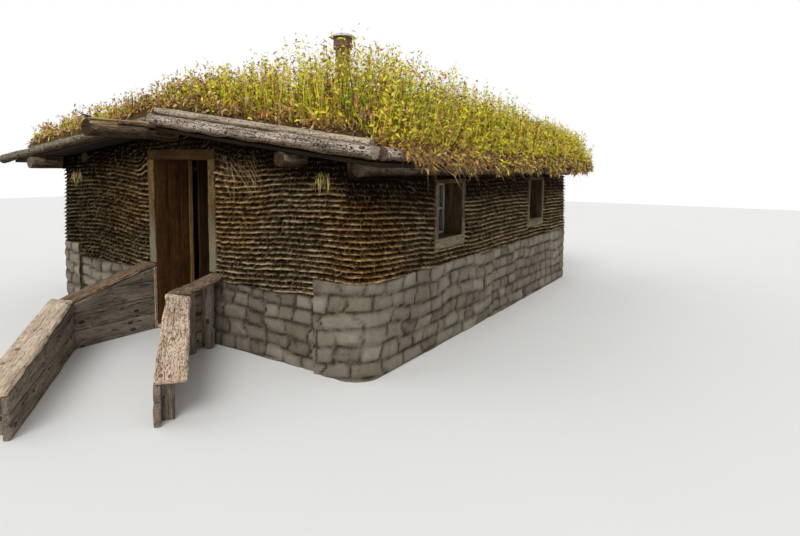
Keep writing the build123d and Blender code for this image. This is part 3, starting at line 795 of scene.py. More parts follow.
class Shape:
    """Mesh being gathered: points with a grain coordinate and a shade, and the faces on them."""

    def __init__(self) -> None:
        """Start with nothing."""
        self.points: list[Array] = []
        self.grain: list[Array] = []
        self.shade: list[Array] = []
        self.corners: list[Array] = []
        self.sizes: list[Array] = []
        self.finish: list[Array] = []
        self.count = 0

    @classmethod
    def of(cls, *parts: "Plank | RoundLog") -> "Shape":
        """A shape of these boards and logs.

        Args:
            parts: The boards and logs.

        Returns:
            The shape.
        """
        shape = cls()
        for part in parts:
            part.add(shape)
        return shape

    def add_points(self, points: Array, grain: Array, shade: Array | float) -> int:
        """Add points.

        Args:
            points: Places, with x, y and z along the last axis.
            grain: Grain coordinates, one for each point.
            shade: Shades, one for each point or one for all.

        Returns:
            The number of the first of them.
        """
        flat = points.reshape(-1, 3)
        start = self.count
        self.points.append(flat)
        self.grain.append(grain.reshape(-1, 3))
        self.shade.append(np.broadcast_to(shade, points.shape[:-1]).reshape(-1))
        self.count += len(flat)
        return start

    def add_faces(self, faces: Array, finish: int = 0) -> None:
        """Add faces that all have as many corners, a row for each.

        Args:
            faces: Numbers of each face's points.
            finish: Which of the piece's finishes they have.
        """
        if len(faces):
            self.corners.append(faces.reshape(-1))
            self.sizes.append(np.full(len(faces), faces.shape[1]))
            self.finish.append(np.full(len(faces), finish))

    def sheet(
        self,
        points: Array,
        grain: Array,
        shade: Array | float = 0.0,
        finish: int = 0,
        around: bool = False,
        keep: Array | None = None,
    ) -> int:
        """Add a sheet of four-cornered faces.

        Args:
            points: Places, in rows and columns.
            grain: Grain coordinates, in the same rows and columns.
            shade: Shades, for each point or for all.
            finish: Which of the piece's finishes it has.
            around: Whether the last column joins the first.
            keep: Which faces are kept, in rows and columns, or None for all.

        Returns:
            The number of the sheet's first point.
        """
        rows, columns = points.shape[:2]
        start = self.add_points(points, grain, shade)
        index = start + np.arange(rows * columns).reshape(rows, columns)
        if around:
            index = np.concatenate([index, index[:, :1]], axis=1)
        faces = np.stack([index[:-1, :-1], index[:-1, 1:], index[1:, 1:], index[1:, :-1]], axis=-1)
        faces = faces.reshape(-1, 4)
        if keep is not None:
            faces = faces[keep.reshape(-1)]
        self.add_faces(faces, finish)
        return start

    def blades(
        self,
        roots: Array,
        aims: Array,
        curls: Array,
        lengths: Array,
        widths: Array,
        shades: Array,
        segments: int,
        turns: Array,
    ) -> None:
        """Add thin tapering blades.

        Args:
            roots: Where each blade starts.
            aims: Direction in which each starts, one metre long.
            curls: How far each bends away by its tip, as a share of its length.
            lengths: Length of each.
            widths: Width of each at its root.
            shades: Shade of each.
            segments: Number of parts along each blade.
            turns: A direction for each that its flat side is square to.
        """
        part = np.linspace(0, 1, segments + 1)[None, :, None]
        spine = roots[:, None] + lengths[:, None, None] * (aims[:, None] * part + curls[:, None] * part**2)
        across = unit(np.cross(aims, turns))[:, None]
        half = 0.5 * widths[:, None, None] * (1 - part[:, :-1]) ** 0.6
        left = spine[:, :-1] - across * half
        right = spine[:, :-1] + across * half
        points = np.concatenate([left, right, spine[:, -1:]], axis=1)
        marks = np.broadcast_to(part[..., 0], (len(roots), segments + 1))
        marks = np.concatenate([marks[:, :-1], marks[:, :-1], marks[:, -1:]], axis=1)
        grain = xyz(marks, points[..., 0], points[..., 2])
        start = self.add_points(points, grain, shades[:, None])
        first = start + np.arange(len(roots))[:, None] * (2 * segments + 1)
        for step in range(segments - 1):
            order = np.array([step, segments + step, segments + step + 1, step + 1])
            self.add_faces(first + order)
        self.add_faces(first + np.array([segments - 1, 2 * segments - 1, 2 * segments]))

    def build(
        self,
        name: str,
        finishes: Sequence[Finish | Wood],
        slot: str,
        crease: float | None = None,
        body: str = "house",
        node: str = "",
    ) -> None:
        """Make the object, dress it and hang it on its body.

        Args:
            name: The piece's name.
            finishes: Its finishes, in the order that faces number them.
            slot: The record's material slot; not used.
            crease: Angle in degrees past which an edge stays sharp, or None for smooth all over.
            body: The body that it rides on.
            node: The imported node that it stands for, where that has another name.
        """
        points = np.concatenate(self.points)
        corners = np.concatenate(self.corners)
        sizes = np.concatenate(self.sizes)
        mesh = bpy.data.meshes.new(name)
        mesh.vertices.add(len(points))
        mesh.vertices.foreach_set("co", points.astype(np.float32).ravel())
        mesh.loops.add(len(corners))
        mesh.loops.foreach_set("vertex_index", corners.astype(np.int32))
        mesh.polygons.add(len(sizes))
        mesh.polygons.foreach_set("loop_start", (np.cumsum(sizes) - sizes).astype(np.int32))
        mesh.polygons.foreach_set("material_index", np.concatenate(self.finish).astype(np.int32))
        mesh.polygons.foreach_set("use_smooth", np.ones(len(sizes), bool))
        mesh.update(calc_edges=True)
        mesh.validate()
        grain = mesh.attributes.new("grain", "FLOAT_VECTOR", "POINT")
        grain.data.foreach_set("vector", np.concatenate(self.grain).astype(np.float32).ravel())
        shade = mesh.attributes.new("shade", "FLOAT", "POINT")
        shade.data.foreach_set("value", np.concatenate(self.shade).astype(np.float32))
        if crease is not None:
            mesh.set_sharp_from_angle(angle=math.radians(crease))
        for finish in finishes:
            mesh.materials.append(finish.material)
        piece = bpy.data.objects.new(name, mesh)
        bpy.context.collection.objects.link(piece)
        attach(piece, body)
        if (node or name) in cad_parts:
            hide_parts(node or name)
        log.info("%s: %d triangles", name, int((sizes - 2).sum()))


@dataclass(frozen=True)
class Axes:
    """A piece's own directions: along it, across its face and out of its face."""

    origin: Array
    along: Array
    across: Array

    @classmethod
    def of(cls, origin: Sequence[float], along: Sequence[float], across: Sequence[float]) -> "Axes":
        """Axes from a place and two directions, made square to each other.

        Args:
            origin: Where the piece starts.
            along: Direction along it.
            across: Direction across its face.

        Returns:
            The axes.
        """
        run = unit(np.asarray(along, float))
        side = np.asarray(across, float)
        return cls(np.asarray(origin, float), run, unit(side - run * (side @ run)))

    @property
    def out(self) -> Array:
        """Direction out of the piece's face."""
        return np.cross(self.along, self.across)

    def place(self, run: Array, across: Array, out: Array) -> Array:
        """World places of points given along, across and out of the piece.

        Args:
            run: Distances along it.
            across: Distances across its face.
            out: Distances out of its face.

        Returns:
            The places.
        """
        spots = np.broadcast_arrays(run, across, out)
        return self.origin + sum(
            spot[..., None] * way for spot, way in zip(spots, (self.along, self.across, self.out))
        )


@dataclass
class Plank:
    """A board with worn edges, a little crooked."""

    axes: Axes
    length: float
    width: float
    thickness: float
    seed: int
    finish: int = 0
    spacing: float = 0.07
    bevel: float = 0.004
    wave: float = 0.003
    warp: float = 0.0
    trim: Trim | None = None

    @classmethod
    def fill(cls, box: Sequence[Pair], along: Axis, face: Axis, seed: int, **options: object) -> "Plank":
        """A board that fills a box.

        Args:
            box: How far the box reaches along X, Y and Z, each from either end.
            along: The axis that the grain follows.
            face: The axis that the board's face looks along.
            seed: Picks the board's own grain and wear.
            options: Other fields of the board.

        Returns:
            The board.
        """
        low, high = np.sort(np.array(box, float), axis=1).T
        size = high - low
        run, out = np.eye(3)[along], np.eye(3)[face]
        middle = (low + high) / 2
        middle[along] = low[along]
        width = size[3 - along - face]
        return cls(Axes.of(middle, run, np.cross(out, run)), size[along], width, size[face], seed, **options)

    def add(self, shape: Shape) -> None:
        """Add the board to a shape.

        Args:
            shape: The shape.
        """
        w, t = self.width / 2, self.thickness / 2
        b = min(self.bevel, 0.8 * t, 0.8 * w)
        outline = [(w, t - b), (w - b, t), (w / 3, t), (-w / 3, t), (b - w, t), (-w, t - b)]
        outline = np.array(outline + [(-a, -o) for a, o in outline])
        count = max(2, round(self.length / self.spacing))
        marks = np.linspace(0, self.length, count + 1)
        run = np.concatenate([[0], [b], marks[1:-1], [self.length - b], [self.length]])
        across = np.broadcast_to(outline[:, 0], (len(run), 12)).copy()
        out = np.broadcast_to(outline[:, 1], (len(run), 12)).copy()
        ends = np.array([0, -1])
        across[ends] *= 1 - b / w
        out[ends] *= 1 - b / t
        steps = np.broadcast_to(run[:, None], across.shape).copy()
        spot = xyz(steps, across, out) + 37.7 * self.seed
        edge = noise(spot, (0.22, 0.05, 0.05), self.seed, 2)
        across += self.wave * edge * np.abs(across) / w
        out += 0.5 * self.wave * noise(spot, (0.3, 0.06, 0.06), self.seed + 5)
        worn = np.clip(noise(spot, (0.09, 0.03, 0.03), self.seed + 9), 0, 1)
        across -= np.sign(across) * worn * b * 0.9 * (np.abs(across) > w - 1.5 * b)
        out -= np.sign(out) * worn * b * 0.7 * (np.abs(across) > w - 1.5 * b)
        out += self.warp * (4 * (steps / self.length - 0.5) ** 2 - 1) * (0.7 + 0.3 * across / w)
        steps[ends] += self.wave * noise(spot[ends], 0.03, self.seed + 13)
        points = self.axes.place(steps, across, out)
        if self.trim is not None:
            points = self.trim(points)
        points[..., 2] = np.maximum(points[..., 2], 0.0)
        grain = xyz(steps, across, out) + 3.31 * self.seed
        start = shape.sheet(points, grain, 0.5, self.finish, around=True)
        last = start + (len(run) - 1) * 12
        shape.add_faces(start + np.arange(12)[None, ::-1], self.finish)
        shape.add_faces(last + np.arange(12)[None, :], self.finish)


@dataclass
class RoundLog:
    """A peeled or barky log with drying cracks and sawn ends."""

    axes: Axes
    length: float
    radius: float
    seed: int
    sides: int = 28
    spacing: float = 0.06
    taper: float = 0.0
    bow: float = 0.006
    lump: float = 0.004
    pit: float = 0.001
    cracks: Sequence[tuple[float, float, float]] = ()
    crack_depth: float = 0.016
    gap: float = 0.035
    lip: float = 0.004
    finish: int = 0
    end_finish: int = 1
    trim: Trim | None = None

    @classmethod
    def between(
        cls, start: Array, end: Array, across: Sequence[float], radius: float, seed: int, **options: object
    ) -> "RoundLog":
        """A log whose middle runs from one place to another.

        Args:
            start: The middle of its first end.
            end: The middle of its last end.
            across: A direction across it, from which angles round it count.
            radius: Its radius.
            seed: Picks its own grain and lumps.
            options: Other fields of the log.

        Returns:
            The log.
        """
        length = float(np.linalg.norm(end - start))
        return cls(Axes.of(start, end - start, across), length, radius, seed, **options)

    def add(self, shape: Shape) -> None:
        """Add the log to a shape.

        Args:
            shape: The shape.
        """
        turn = math.tau / self.sides
        opened = [math.radians(angle) for angle, _, _ in self.cracks]
        plain = [turn * step for step in range(self.sides)]
        plain = [a for a in plain if all(abs(apart(a, c)) > 2.2 * self.gap for c in opened)]
        triples = [c + step for c in opened for step in (-self.gap, 0.0, self.gap)]
        angles = np.array(sorted((a % math.tau) for a in plain + triples))
        count = max(3, round(self.length / self.spacing))
        run = np.linspace(0, self.length, count + 1)
        run = np.concatenate([[0, self.lip], run[1:-1], [self.length - self.lip, self.length]])
        steps = np.broadcast_to(run[:, None], (len(run), len(angles))).copy()
        drift = 0.18 * noise(xyz(run, 0, 0), 0.9, self.seed + 3)
        theta = angles[None, :] + drift[:, None]
        radius = self.radius * (1 - self.taper * steps / self.length)
        spot = xyz(steps, radius * np.cos(theta), radius * np.sin(theta))
        spot[..., 0] += 17.3 * self.seed
        radius += self.lump * noise(spot, (0.22, 0.09, 0.09), self.seed) - 0.5 * self.lump
        radius += self.pit * noise(spot, (0.05, 0.022, 0.022), self.seed + 7, 2)
        for angle, first, last in self.cracks:
            share = run / self.length
            window = ease((share - first) / 0.06) * ease((last - share) / 0.06)
            hit = np.abs(apart(angles, math.radians(angle))) < 0.2 * self.gap
            depth = self.crack_depth * window * (0.7 + 0.3 * noise(spot[:, 0], 0.08, self.seed + 11))
            radius -= depth[:, None] * hit[None, :]
        ends = np.array([0, -1])
        radius[ends] -= 0.6 * self.lip
        sway = self.bow * noise(xyz(run, 0, 0), 1.4, self.seed + 19)
        lift = self.bow * noise(xyz(run, 0, 0), 1.7, self.seed + 23)
        rise = np.sin(theta)
        across = radius * np.cos(theta) + sway[:, None]
        out = radius * rise + lift[:, None]
        points = self.axes.place(steps, across, out)
        if self.trim is not None:
            points = self.trim(points)
        facing = unit(self.axes.across) * np.cos(theta)[..., None] + unit(self.axes.out) * rise[..., None]
        # how far up each point faces, from 0 to 1; the log finishes darken low values as painted shade
        shade = 0.5 + 0.5 * facing[..., 2]
        grain = xyz(spot[..., 0], across, out)
        shape.sheet(points, grain, shade, self.finish, around=True)
        for row, turned in ((0, True), (-1, False)):
            self.close_end(shape, points[row], grain[row], sway[row], lift[row], turned)

    def close_end(
        self, shape: Shape, ring: Array, grain: Array, sway: float, lift: float, turned: bool
    ) -> None:
        """Close one sawn end.

        Args:
            shape: The shape that the log is in.
            ring: The end's outline.
            grain: Grain coordinates of the outline.
            sway: How far across the log's middle lies there.
            lift: How far out the log's middle lies there.
            turned: Whether the end looks back along the log.
        """
        centre = ring.mean(axis=0)
        heart = grain.mean(axis=0)
        shares = np.array([1.0, 0.8, 0.55, 0.3, 0.08])[:, None, None]
        spots = heart + (grain - heart) * shares
        rows = centre + (ring - centre) * shares
        rough = 0.003 * noise(spots, 0.02, self.seed + 29) * (shares[..., 0] < 0.99)
        rows = rows + rough[..., None] * self.axes.along
        spots[..., 1] -= sway
        spots[..., 2] -= lift
        if turned:
            rows, spots = rows[:, ::-1], spots[:, ::-1]
        start = shape.sheet(rows, spots, 0.5, self.end_finish, around=True)
        count = ring.shape[0]
        shape.add_faces(start + 4 * count + np.arange(count)[None, :], self.end_finish)


@dataclass(frozen=True)
class Rect:
    """An upright rectangle on a wall face, placed along the wall and in height."""

    centre: float
    half_width: float
    bottom: float
    top: float

    def distance(self, along: Array, height: Array) -> Array:
        """How far outside the rectangle a place is, below zero inside it."""
        beside = np.abs(along - self.centre) - self.half_width
        return np.maximum(beside, np.maximum(self.bottom - height, height - self.top))


def wall_path(corners: Plan, radius: float, spacing: float) -> tuple[Array, Array]:
    """Walk along a wall face in plan, counterclockwise round the house.

    Args:
        corners: The face's corners in plan, its two ends among them.
        radius: Radius of each corner between the ends.
        spacing: Distance between the places.

    Returns:
        The places, and the direction out of the wall at each.
    """
    spots = [np.asarray(corners[0], float)]
    for before, corner, after in zip(corners, corners[1:], corners[2:]):
        before, corner, after = (np.asarray(spot, float) for spot in (before, corner, after))
        start = corner + unit(before - corner) * radius
        finish = corner + unit(after - corner) * radius
        centre = start + finish - corner
        angles = np.linspace(0, math.pi / 2, 13)[:, None]
        spots += list(centre + (start - centre) * np.cos(angles) + (finish - centre) * np.sin(angles))
    spots.append(np.asarray(corners[-1], float))
    line = np.array(spots)
    marks = distances(line)
    even = np.linspace(0, marks[-1], max(2, round(marks[-1] / spacing)) + 1)
    places = np.stack([np.interp(even, marks, line[:, axis]) for axis in (0, 1)], axis=-1)
    ways = unit(np.gradient(places, axis=0))
    return places, np.stack([ways[:, 1], -ways[:, 0]], axis=-1)


@dataclass(frozen=True)
class Tuft:
    """Roots or dry stalks that hang together from the front wall."""

    count: int
    across: Pair
    height: Pair
    length: Pair
    lean: float
    shades: tuple[float, ...]


@dataclass
class SodWalls:
    """Walls of thin turf courses, each with a fringed lower lip."""

    places: Places
    course: float = 0.05
    lip: float = 0.03
    cover: float = 0.003
    bulge: float = 0.014
    batter: float = 0.022
    front_spacing: float = 0.018
    rear_spacing: float = 0.034
    side_bottom: float = 0.87
    front_bottom: float = 0.7
    door_edge: float = 0.577
    door_top: float = 2.06
    window_half: float = 0.35
    window_bottom: float = 1.025
    window_top: float = 1.765
    profile: tuple[Pair, ...] = ((0.04, 0.0), (0.0, 0.72), (0.15, 1.0), (0.33, 0.55), (0.66, 0.1))
    strand_spacing: float = 0.008
    # how far the courses darken towards the roof: painted shade under the eaves, with some wet soil
    damp: float = 0.72
    plate_reach: float = 2.43
    plate_radius: float = 0.075
    tufts: tuple[Tuft, ...] = (
        Tuft(46, (0.66, 1.25), (1.72, 2.02), (0.1, 0.26), 0.7, (0.03, 0.1, 0.14)),
        Tuft(26, (-2.2, -2.0), (1.74, 1.82), (0.08, 0.17), 0.1, (0.14, 0.12, 0.28, 0.05)),
        Tuft(26, (1.96, 2.12), (1.76, 1.84), (0.07, 0.15), 0.1, (0.14, 0.12, 0.28, 0.05)),
    )

    def wave(self, x: Array, y: Array) -> Array:
        """How far the courses rise or dip at a place in plan.

        Args:
            x: X of each place.
            y: Y of each place.

        Returns:
            The rise, one for each place.
        """
        front = ease((0.5 - y) / 0.5)
        hump = 0.05 * np.exp(-(((x + 1.7) / 0.55) ** 2)) - 0.055 * np.exp(-(((x + 0.5) / 0.4) ** 2))
        tilt = 0.065 * ease((x - 0.5) / 1.35) * (1 - ease(y / 1.7))
        slow = noise(xyz(x, y, 0), 1.1, 41)
        return front * hump + tilt + 0.016 * slow

    def arch(self, x: Array, y: Array, height: Array) -> Array:
        """How far the courses climb over the doorway, drooping far to its right.

        Args:
            x: X of each place.
            y: Y of each place.
            height: Height of each place.

        Returns:
            The climb, one for each place.
        """
        reach = np.where(x > 0, 0.26, 0.09)
        beside = np.maximum(np.abs(x) - self.door_edge, 0) / reach
        return 0.13 * np.exp(-(beside**2)) * ease((height - 1.55) / 0.42) * ease((0.4 - y) / 0.4)

    def ceiling(self, x: Array) -> Array:
        """Height up to which the wall stands below the roof at this X.

        Args:
            x: The X.

        Returns:
            The height, one for each X.
        """
        places = self.places
        offset = np.abs(x - places.middle)
        left = x < places.middle
        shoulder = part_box("plate_logs")[1][0] - places.middle - 0.15
        seat = np.where(left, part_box("left_wall")[1][2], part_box("right_wall")[1][2])
        log_seat = np.where(left, self.seat_height(Side.LEFT), self.seat_height(Side.RIGHT))
        return np.where(offset > shoulder, log_seat, np.minimum(places.underside(x), seat + 1.0)) - 0.003

    def seat_height(self, side: Side) -> float:
        """Height of a side wall's top, under its plate log.

        Args:
            side: The side of the house.

        Returns:
            The height.
        """
        slope = self.places.slope(side)
        steep = math.sqrt(1 + slope * slope)
        return self.places.roof_plane - slope * self.plate_reach - self.plate_radius * (1 + steep)

    def openings(self, face: str) -> list[Rect]:
        """What the courses on a face stop at.

        Args:
            face: The face's name.

        Returns:
            The openings.
        """
        if face == "front":
            return [Rect(0.0, self.door_edge, -1.0, self.door_top)]
        if face == "back":
            return []
        half, low, high = self.window_half, self.window_bottom, self.window_top
        return [Rect(y, half, low, high) for y in self.places.window_middles]

    def face(
        self, name: str, corners: Plan, bottom: float, spacing: float, strands: float, seed: int
    ) -> None:
        """Build the courses of one face.

        Args:
            name: The face: front, back, left or right.
            corners: Its corners in plan, counterclockwise.
            bottom: Height of its lowest course.
            spacing: Distance between its columns.
            strands: Share of the usual number of fringe strands.
            seed: Picks its strands.
        """
        plan, ways = wall_path(corners, self.places.corner_radius, spacing)
        x, y = plan.T
        top = self.ceiling(x)
        first = math.floor(bottom / self.course) - 2
        last = math.ceil(top.max() / self.course) + 3
        order = np.arange(first, last)
        shares, proud = np.array(self.profile).T
        rows = (order[:, None] + shares).reshape(-1)
        level = np.repeat(order, len(shares))
        reach = np.tile(proud, len(order))
        spot = xyz(x, y, level[:, None] * 0.37)
        jitter = 0.01 * noise(spot, (0.3, 0.3, 1.3), 51) + 0.0055 * noise(spot, (0.055, 0.055, 0.3), 53)
        height = rows[:, None] * self.course + self.wave(x, y) + jitter
        height += self.arch(x, y, height)
        strength = 0.95 + 0.3 * noise(spot, (0.22, 0.22, 0.3), 55)
        strength += 0.34 * noise(spot, (0.035, 0.035, 0.3), 57)
        place = xyz(x, y, height)
        fine = noise(place, (0.02, 0.02, 0.012), 59, 2)
        lipped = reach[:, None] * np.clip(strength, 0.15, 1.5)
        held = np.clip(height, bottom, top)
        share = (held - bottom) / (top.max() - bottom)
        slow = self.bulge * noise(place, (0.6, 0.6, 0.35), 61) + self.batter * (1 - share) ** 1.5
        along = x if name in ("front", "back") else y
        clear, away = np.ones(held.shape), np.ones(held.shape)
        for opening in self.openings(name):
            distance = opening.distance(along, held)
            clear = np.minimum(clear, ease((distance + 0.004) / 0.022))
            away = np.minimum(away, ease(distance / 0.15))
        swell = self.cover + (slow + self.bulge * 0.6) * away
        depth = swell + clear * (self.lip * lipped + 0.0045 * fine * (0.3 + reach[:, None]))
        points = xyz(x + ways[:, 0] * depth, y + ways[:, 1] * depth, held)
        # shade here is how proud a place stands; the sod finish turns low values near black, partly painted
        # shade in the recesses
        shade = np.clip(0.1 + 0.74 * lipped + 0.25 * fine * reach[:, None], 0, 1)
        # painted shade: the top 0.36 m of wall under the roof is darkened, standing for the eaves' shadow
        shade *= 1 - self.damp * ease((held - top + 0.36) / 0.3)
        keep = np.ptp(np.stack([held[:-1, :-1], held[1:, :-1], held[:-1, 1:], held[1:, 1:]]), axis=0) > 2e-4
        for opening in self.openings(name):
            middle = (held[:-1, :-1] + held[1:, 1:]) / 2
            keep &= opening.distance((along[:-1] + along[1:]) / 2, middle) > -0.03
        shape = Shape()
        shape.sheet(points, points, shade, keep=keep)
        inside = (held > bottom + 0.01) & (held < top - 0.02) & (clear > 0.6)
        self.fringe(shape, points, ways, inside & (reach[:, None] > 0.5), spacing, strands, seed)
        shape.build(f"{name}_sod_courses", [SOD], "sod")

    def fringe(
        self, shape: Shape, points: Array, ways: Array, crests: Array, spacing: float, strands: float,
        seed: int,
    ) -> None:
        """Hang root strands from the lips of the courses.

        Args:
            shape: The shape of the face.
            points: The face's points.
            ways: Direction out of the wall at each column.
            crests: Which of the points lie on a lip.
            spacing: Distance between the columns.
            strands: Share of the usual number of strands.
            seed: Picks the strands.
        """
        draw = np.random.default_rng(seed)
        rows, columns = np.nonzero(crests)
        chance = strands * 0.3 * spacing / self.strand_spacing
        copies = draw.poisson(chance, len(rows))
        rows, columns = np.repeat(rows, copies), np.repeat(columns, copies)
        count = len(rows)
        if not count:
            return
        outward = np.column_stack([ways[columns], np.zeros(count)])
        beside = np.cross(UP, outward)
        roots = points[rows, columns] + beside * draw.uniform(-0.5, 0.5, (count, 1)) * spacing
        roots += UP * draw.normal(0, 0.004, (count, 1)) - outward * 0.004
        lean = draw.normal(0, 0.45, (count, 1))
        aims = outward * draw.uniform(0.35, 1.0, (count, 1)) + beside * lean
        aims = unit(aims - UP * draw.uniform(0.0, 0.9, (count, 1)))
        curls = -UP * draw.uniform(0.2, 0.9, (count, 1)) + beside * draw.normal(0, 0.2, (count, 1))
        lengths = np.clip(draw.gamma(3.0, 0.0065, count), 0.008, 0.07)
        shades = np.clip(draw.normal(0.68, 0.22, count), 0.15, 1.0)
        shape.blades(roots, aims, curls, lengths, draw.uniform(0.0016, 0.0042, count), shades, 2, outward)

    def roots(self) -> None:
        """Long roots that hang askew by the doorway, and two tufts of dry grass under the eave."""
        draw = np.random.default_rng(305)
        shape = Shape()
        for tuft in self.tufts:
            count = tuft.count
            spots = xyz(draw.uniform(*tuft.across, count), -0.035, draw.uniform(*tuft.height, count))
            ways = unit(xyz(draw.normal(tuft.lean, 0.35, count), -0.12, -0.8))
            curls = xyz(draw.normal(0, 0.15, count), -0.05, draw.uniform(-0.3, 0.1, count))
            shades = draw.choice(tuft.shades, count)
            lengths = draw.uniform(*tuft.length, count)
            shape.blades(spots, ways, curls, lengths, draw.uniform(0.004, 0.008, count), shades, 3, FRONTWARD)
        shape.build("hanging_roots_and_tufts", [GRASS], "sod")

    def build(self) -> None:
        """Build all four faces."""
        places = self.places
        left, right = places.either_side(places.wall_inner)
        far_left, far_right = places.either_side(places.wall_outer)
        back = places.wall_length
        right_face = [(right, 0), (far_right, 0), (far_right, back), (right, back)]
        left_face = [(left, back), (far_left, back), (far_left, 0), (left, 0)]
        low, fine, coarse = self.side_bottom, self.front_spacing, self.rear_spacing
        self.face("front", [(left, 0), (right, 0)], self.front_bottom, fine, 1.0, 301)
        self.face("right", right_face, low, fine, 1.0, 302)
        self.face("back", [(right, back), (left, back)], low, coarse, 0.3, 303)
        self.face("left", left_face, low, coarse, 0.4, 304)
        self.roots()


@dataclass
class StoneFooting:
    """Coursed fieldstones over the footing, with a worn ledge on top."""

    places: Places
    ledge: float = 0.04
    spacing: float = 0.028
    course: float = 0.145
    stone: float = 0.27
    relief: float = 0.026
    cover: float = 0.002
    joint: float = 0.04
    lap: float = 0.012
    front_ledge: float = 0.01

    def stones(self, run: Array, height: Array, seed: int) -> tuple[Array, Array]:
        """Lay the stones on a face.

        Args:
            run: Distance along the face.
            height: Height on the face.
            seed: Picks the stones.

        Returns:
            How proud each place is, from 0 in a joint to 1, and each stone's own tone from 0 to 1.
        """
        bend = xyz(run, 0, height)
        row_level = height / self.course + 0.42 * noise(bend, (0.42, 1.0, 0.5), seed + 1)
        row = np.floor(row_level)
        cell = xyz(row, 0, 0).astype(np.int64)
        length = self.stone * (1 + 0.3 * lattice(cell, seed))
        place = run / length + 0.5 * lattice(cell, seed + 2) + 0.24 * noise(bend, (0.16, 1.0, 0.1), seed + 3)
        column = np.floor(place)
        inside = place - column
        own = xyz(row, column, 0).astype(np.int64)
        shift = 0.16 * lattice(own, seed + 4)
        split = np.clip(inside + shift * inside * (1 - inside), 0, 1)
        beside = np.minimum(split, 1 - split) * length
        above = (row_level - row) * self.course
        edge = np.minimum(beside, np.minimum(above, self.course - above))
        proud = 1 - (1 - np.clip(edge / self.joint, 0, 1)) ** 2
        return proud * (0.85 + 0.15 * lattice(own, seed + 5)), 0.5 + 0.5 * lattice(own, seed + 6)

    def face(self, shape: Shape, corners: Plan, top: float, depth: float, seed: int) -> None:
        """Add one face and the ledge on top of it.

        Args:
            shape: The shape to add to.
            corners: The face's corners in plan.
            top: Height of the ledge.
            depth: How far the ledge reaches back.
            seed: Picks the stones.
        """
        radius = self.places.corner_radius + self.ledge
        plan, ways = wall_path(corners, radius, self.spacing)
        run = distances(plan)
        count = round(top / self.spacing)
        height = np.linspace(0, top, count + 1)
        back = np.array([0.35, 0.7, 1.0]) * depth
        level = np.concatenate([height, np.full(len(back), top)])
        inward = np.concatenate([np.zeros(count + 1), back])
        proud, tone = self.stones(*np.broadcast_arrays(run, level[:, None]), seed)
        rounded = ease(np.clip((top - level) / 0.03, 0, 1))[:, None]
        over = (inward > 0)[:, None]
        spot = xyz(plan[:, 0], plan[:, 1], level[:, None])
        rough = noise(spot + inward[:, None, None], (0.09, 0.09, 0.07), seed + 7, 3)
        floor = ease(level / 0.01)[:, None]
        rise = np.where(over, 0, self.cover + self.relief * proud * (0.4 + 0.6 * rounded))
        reach = rise + 0.006 * rough * floor - inward[:, None]
        worn = 0.006 * noise(spot, 0.3, seed + 8)
        height = level[:, None] + np.where(over, 0.004 + worn, worn * ease(level / top)[:, None])
        points = xyz(plan[:, 0] + ways[:, 0] * reach, plan[:, 1] + ways[:, 1] * reach, height)
        shade = np.where(over, 0.85, np.clip(0.08 + 0.55 * proud, 0, 1)) * (0.62 + 0.55 * tone)
        shape.sheet(points, points, shade)

    def build(self) -> None:
        """Build the stones of all faces."""
        places = self.places
        left, right = places.either_side(places.wall_inner)
        far_left, far_right = places.either_side(places.wall_outer)
        far_left, far_right = far_left - self.ledge, far_right + self.ledge
        back, front = places.wall_length + self.ledge, -self.ledge
        height = spans("footing_sides")[Axis.Z][1]
        low = spans("footing_front")[Axis.Z][1]
        door = spans("door_linings")[Axis.X]
        round_house = [(right, front), (far_right, front), (far_right, back)]
        round_house += [(far_left, back), (far_left, front), (left, front)]
        stones = Shape()
        self.face(stones, round_house, height, self.ledge + self.lap, 71)
        stones.build("footing_stones", [STONE], "footing", STONE_EDGE)
        lower = (
            ([(left, 0), (door[0], 0)], low), ([(door[1], 0), (right, 0)], low),
            ([(left, front), (left, 0)], height), ([(right, 0), (right, front)], height),
        )
        front_stones = Shape()
        for seed, (corners, top) in enumerate(lower, 72):
            self.face(front_stones, corners, top, self.front_ledge, seed)
        front_stones.build("front_footing_stones", [STONE], "footing", STONE_EDGE)


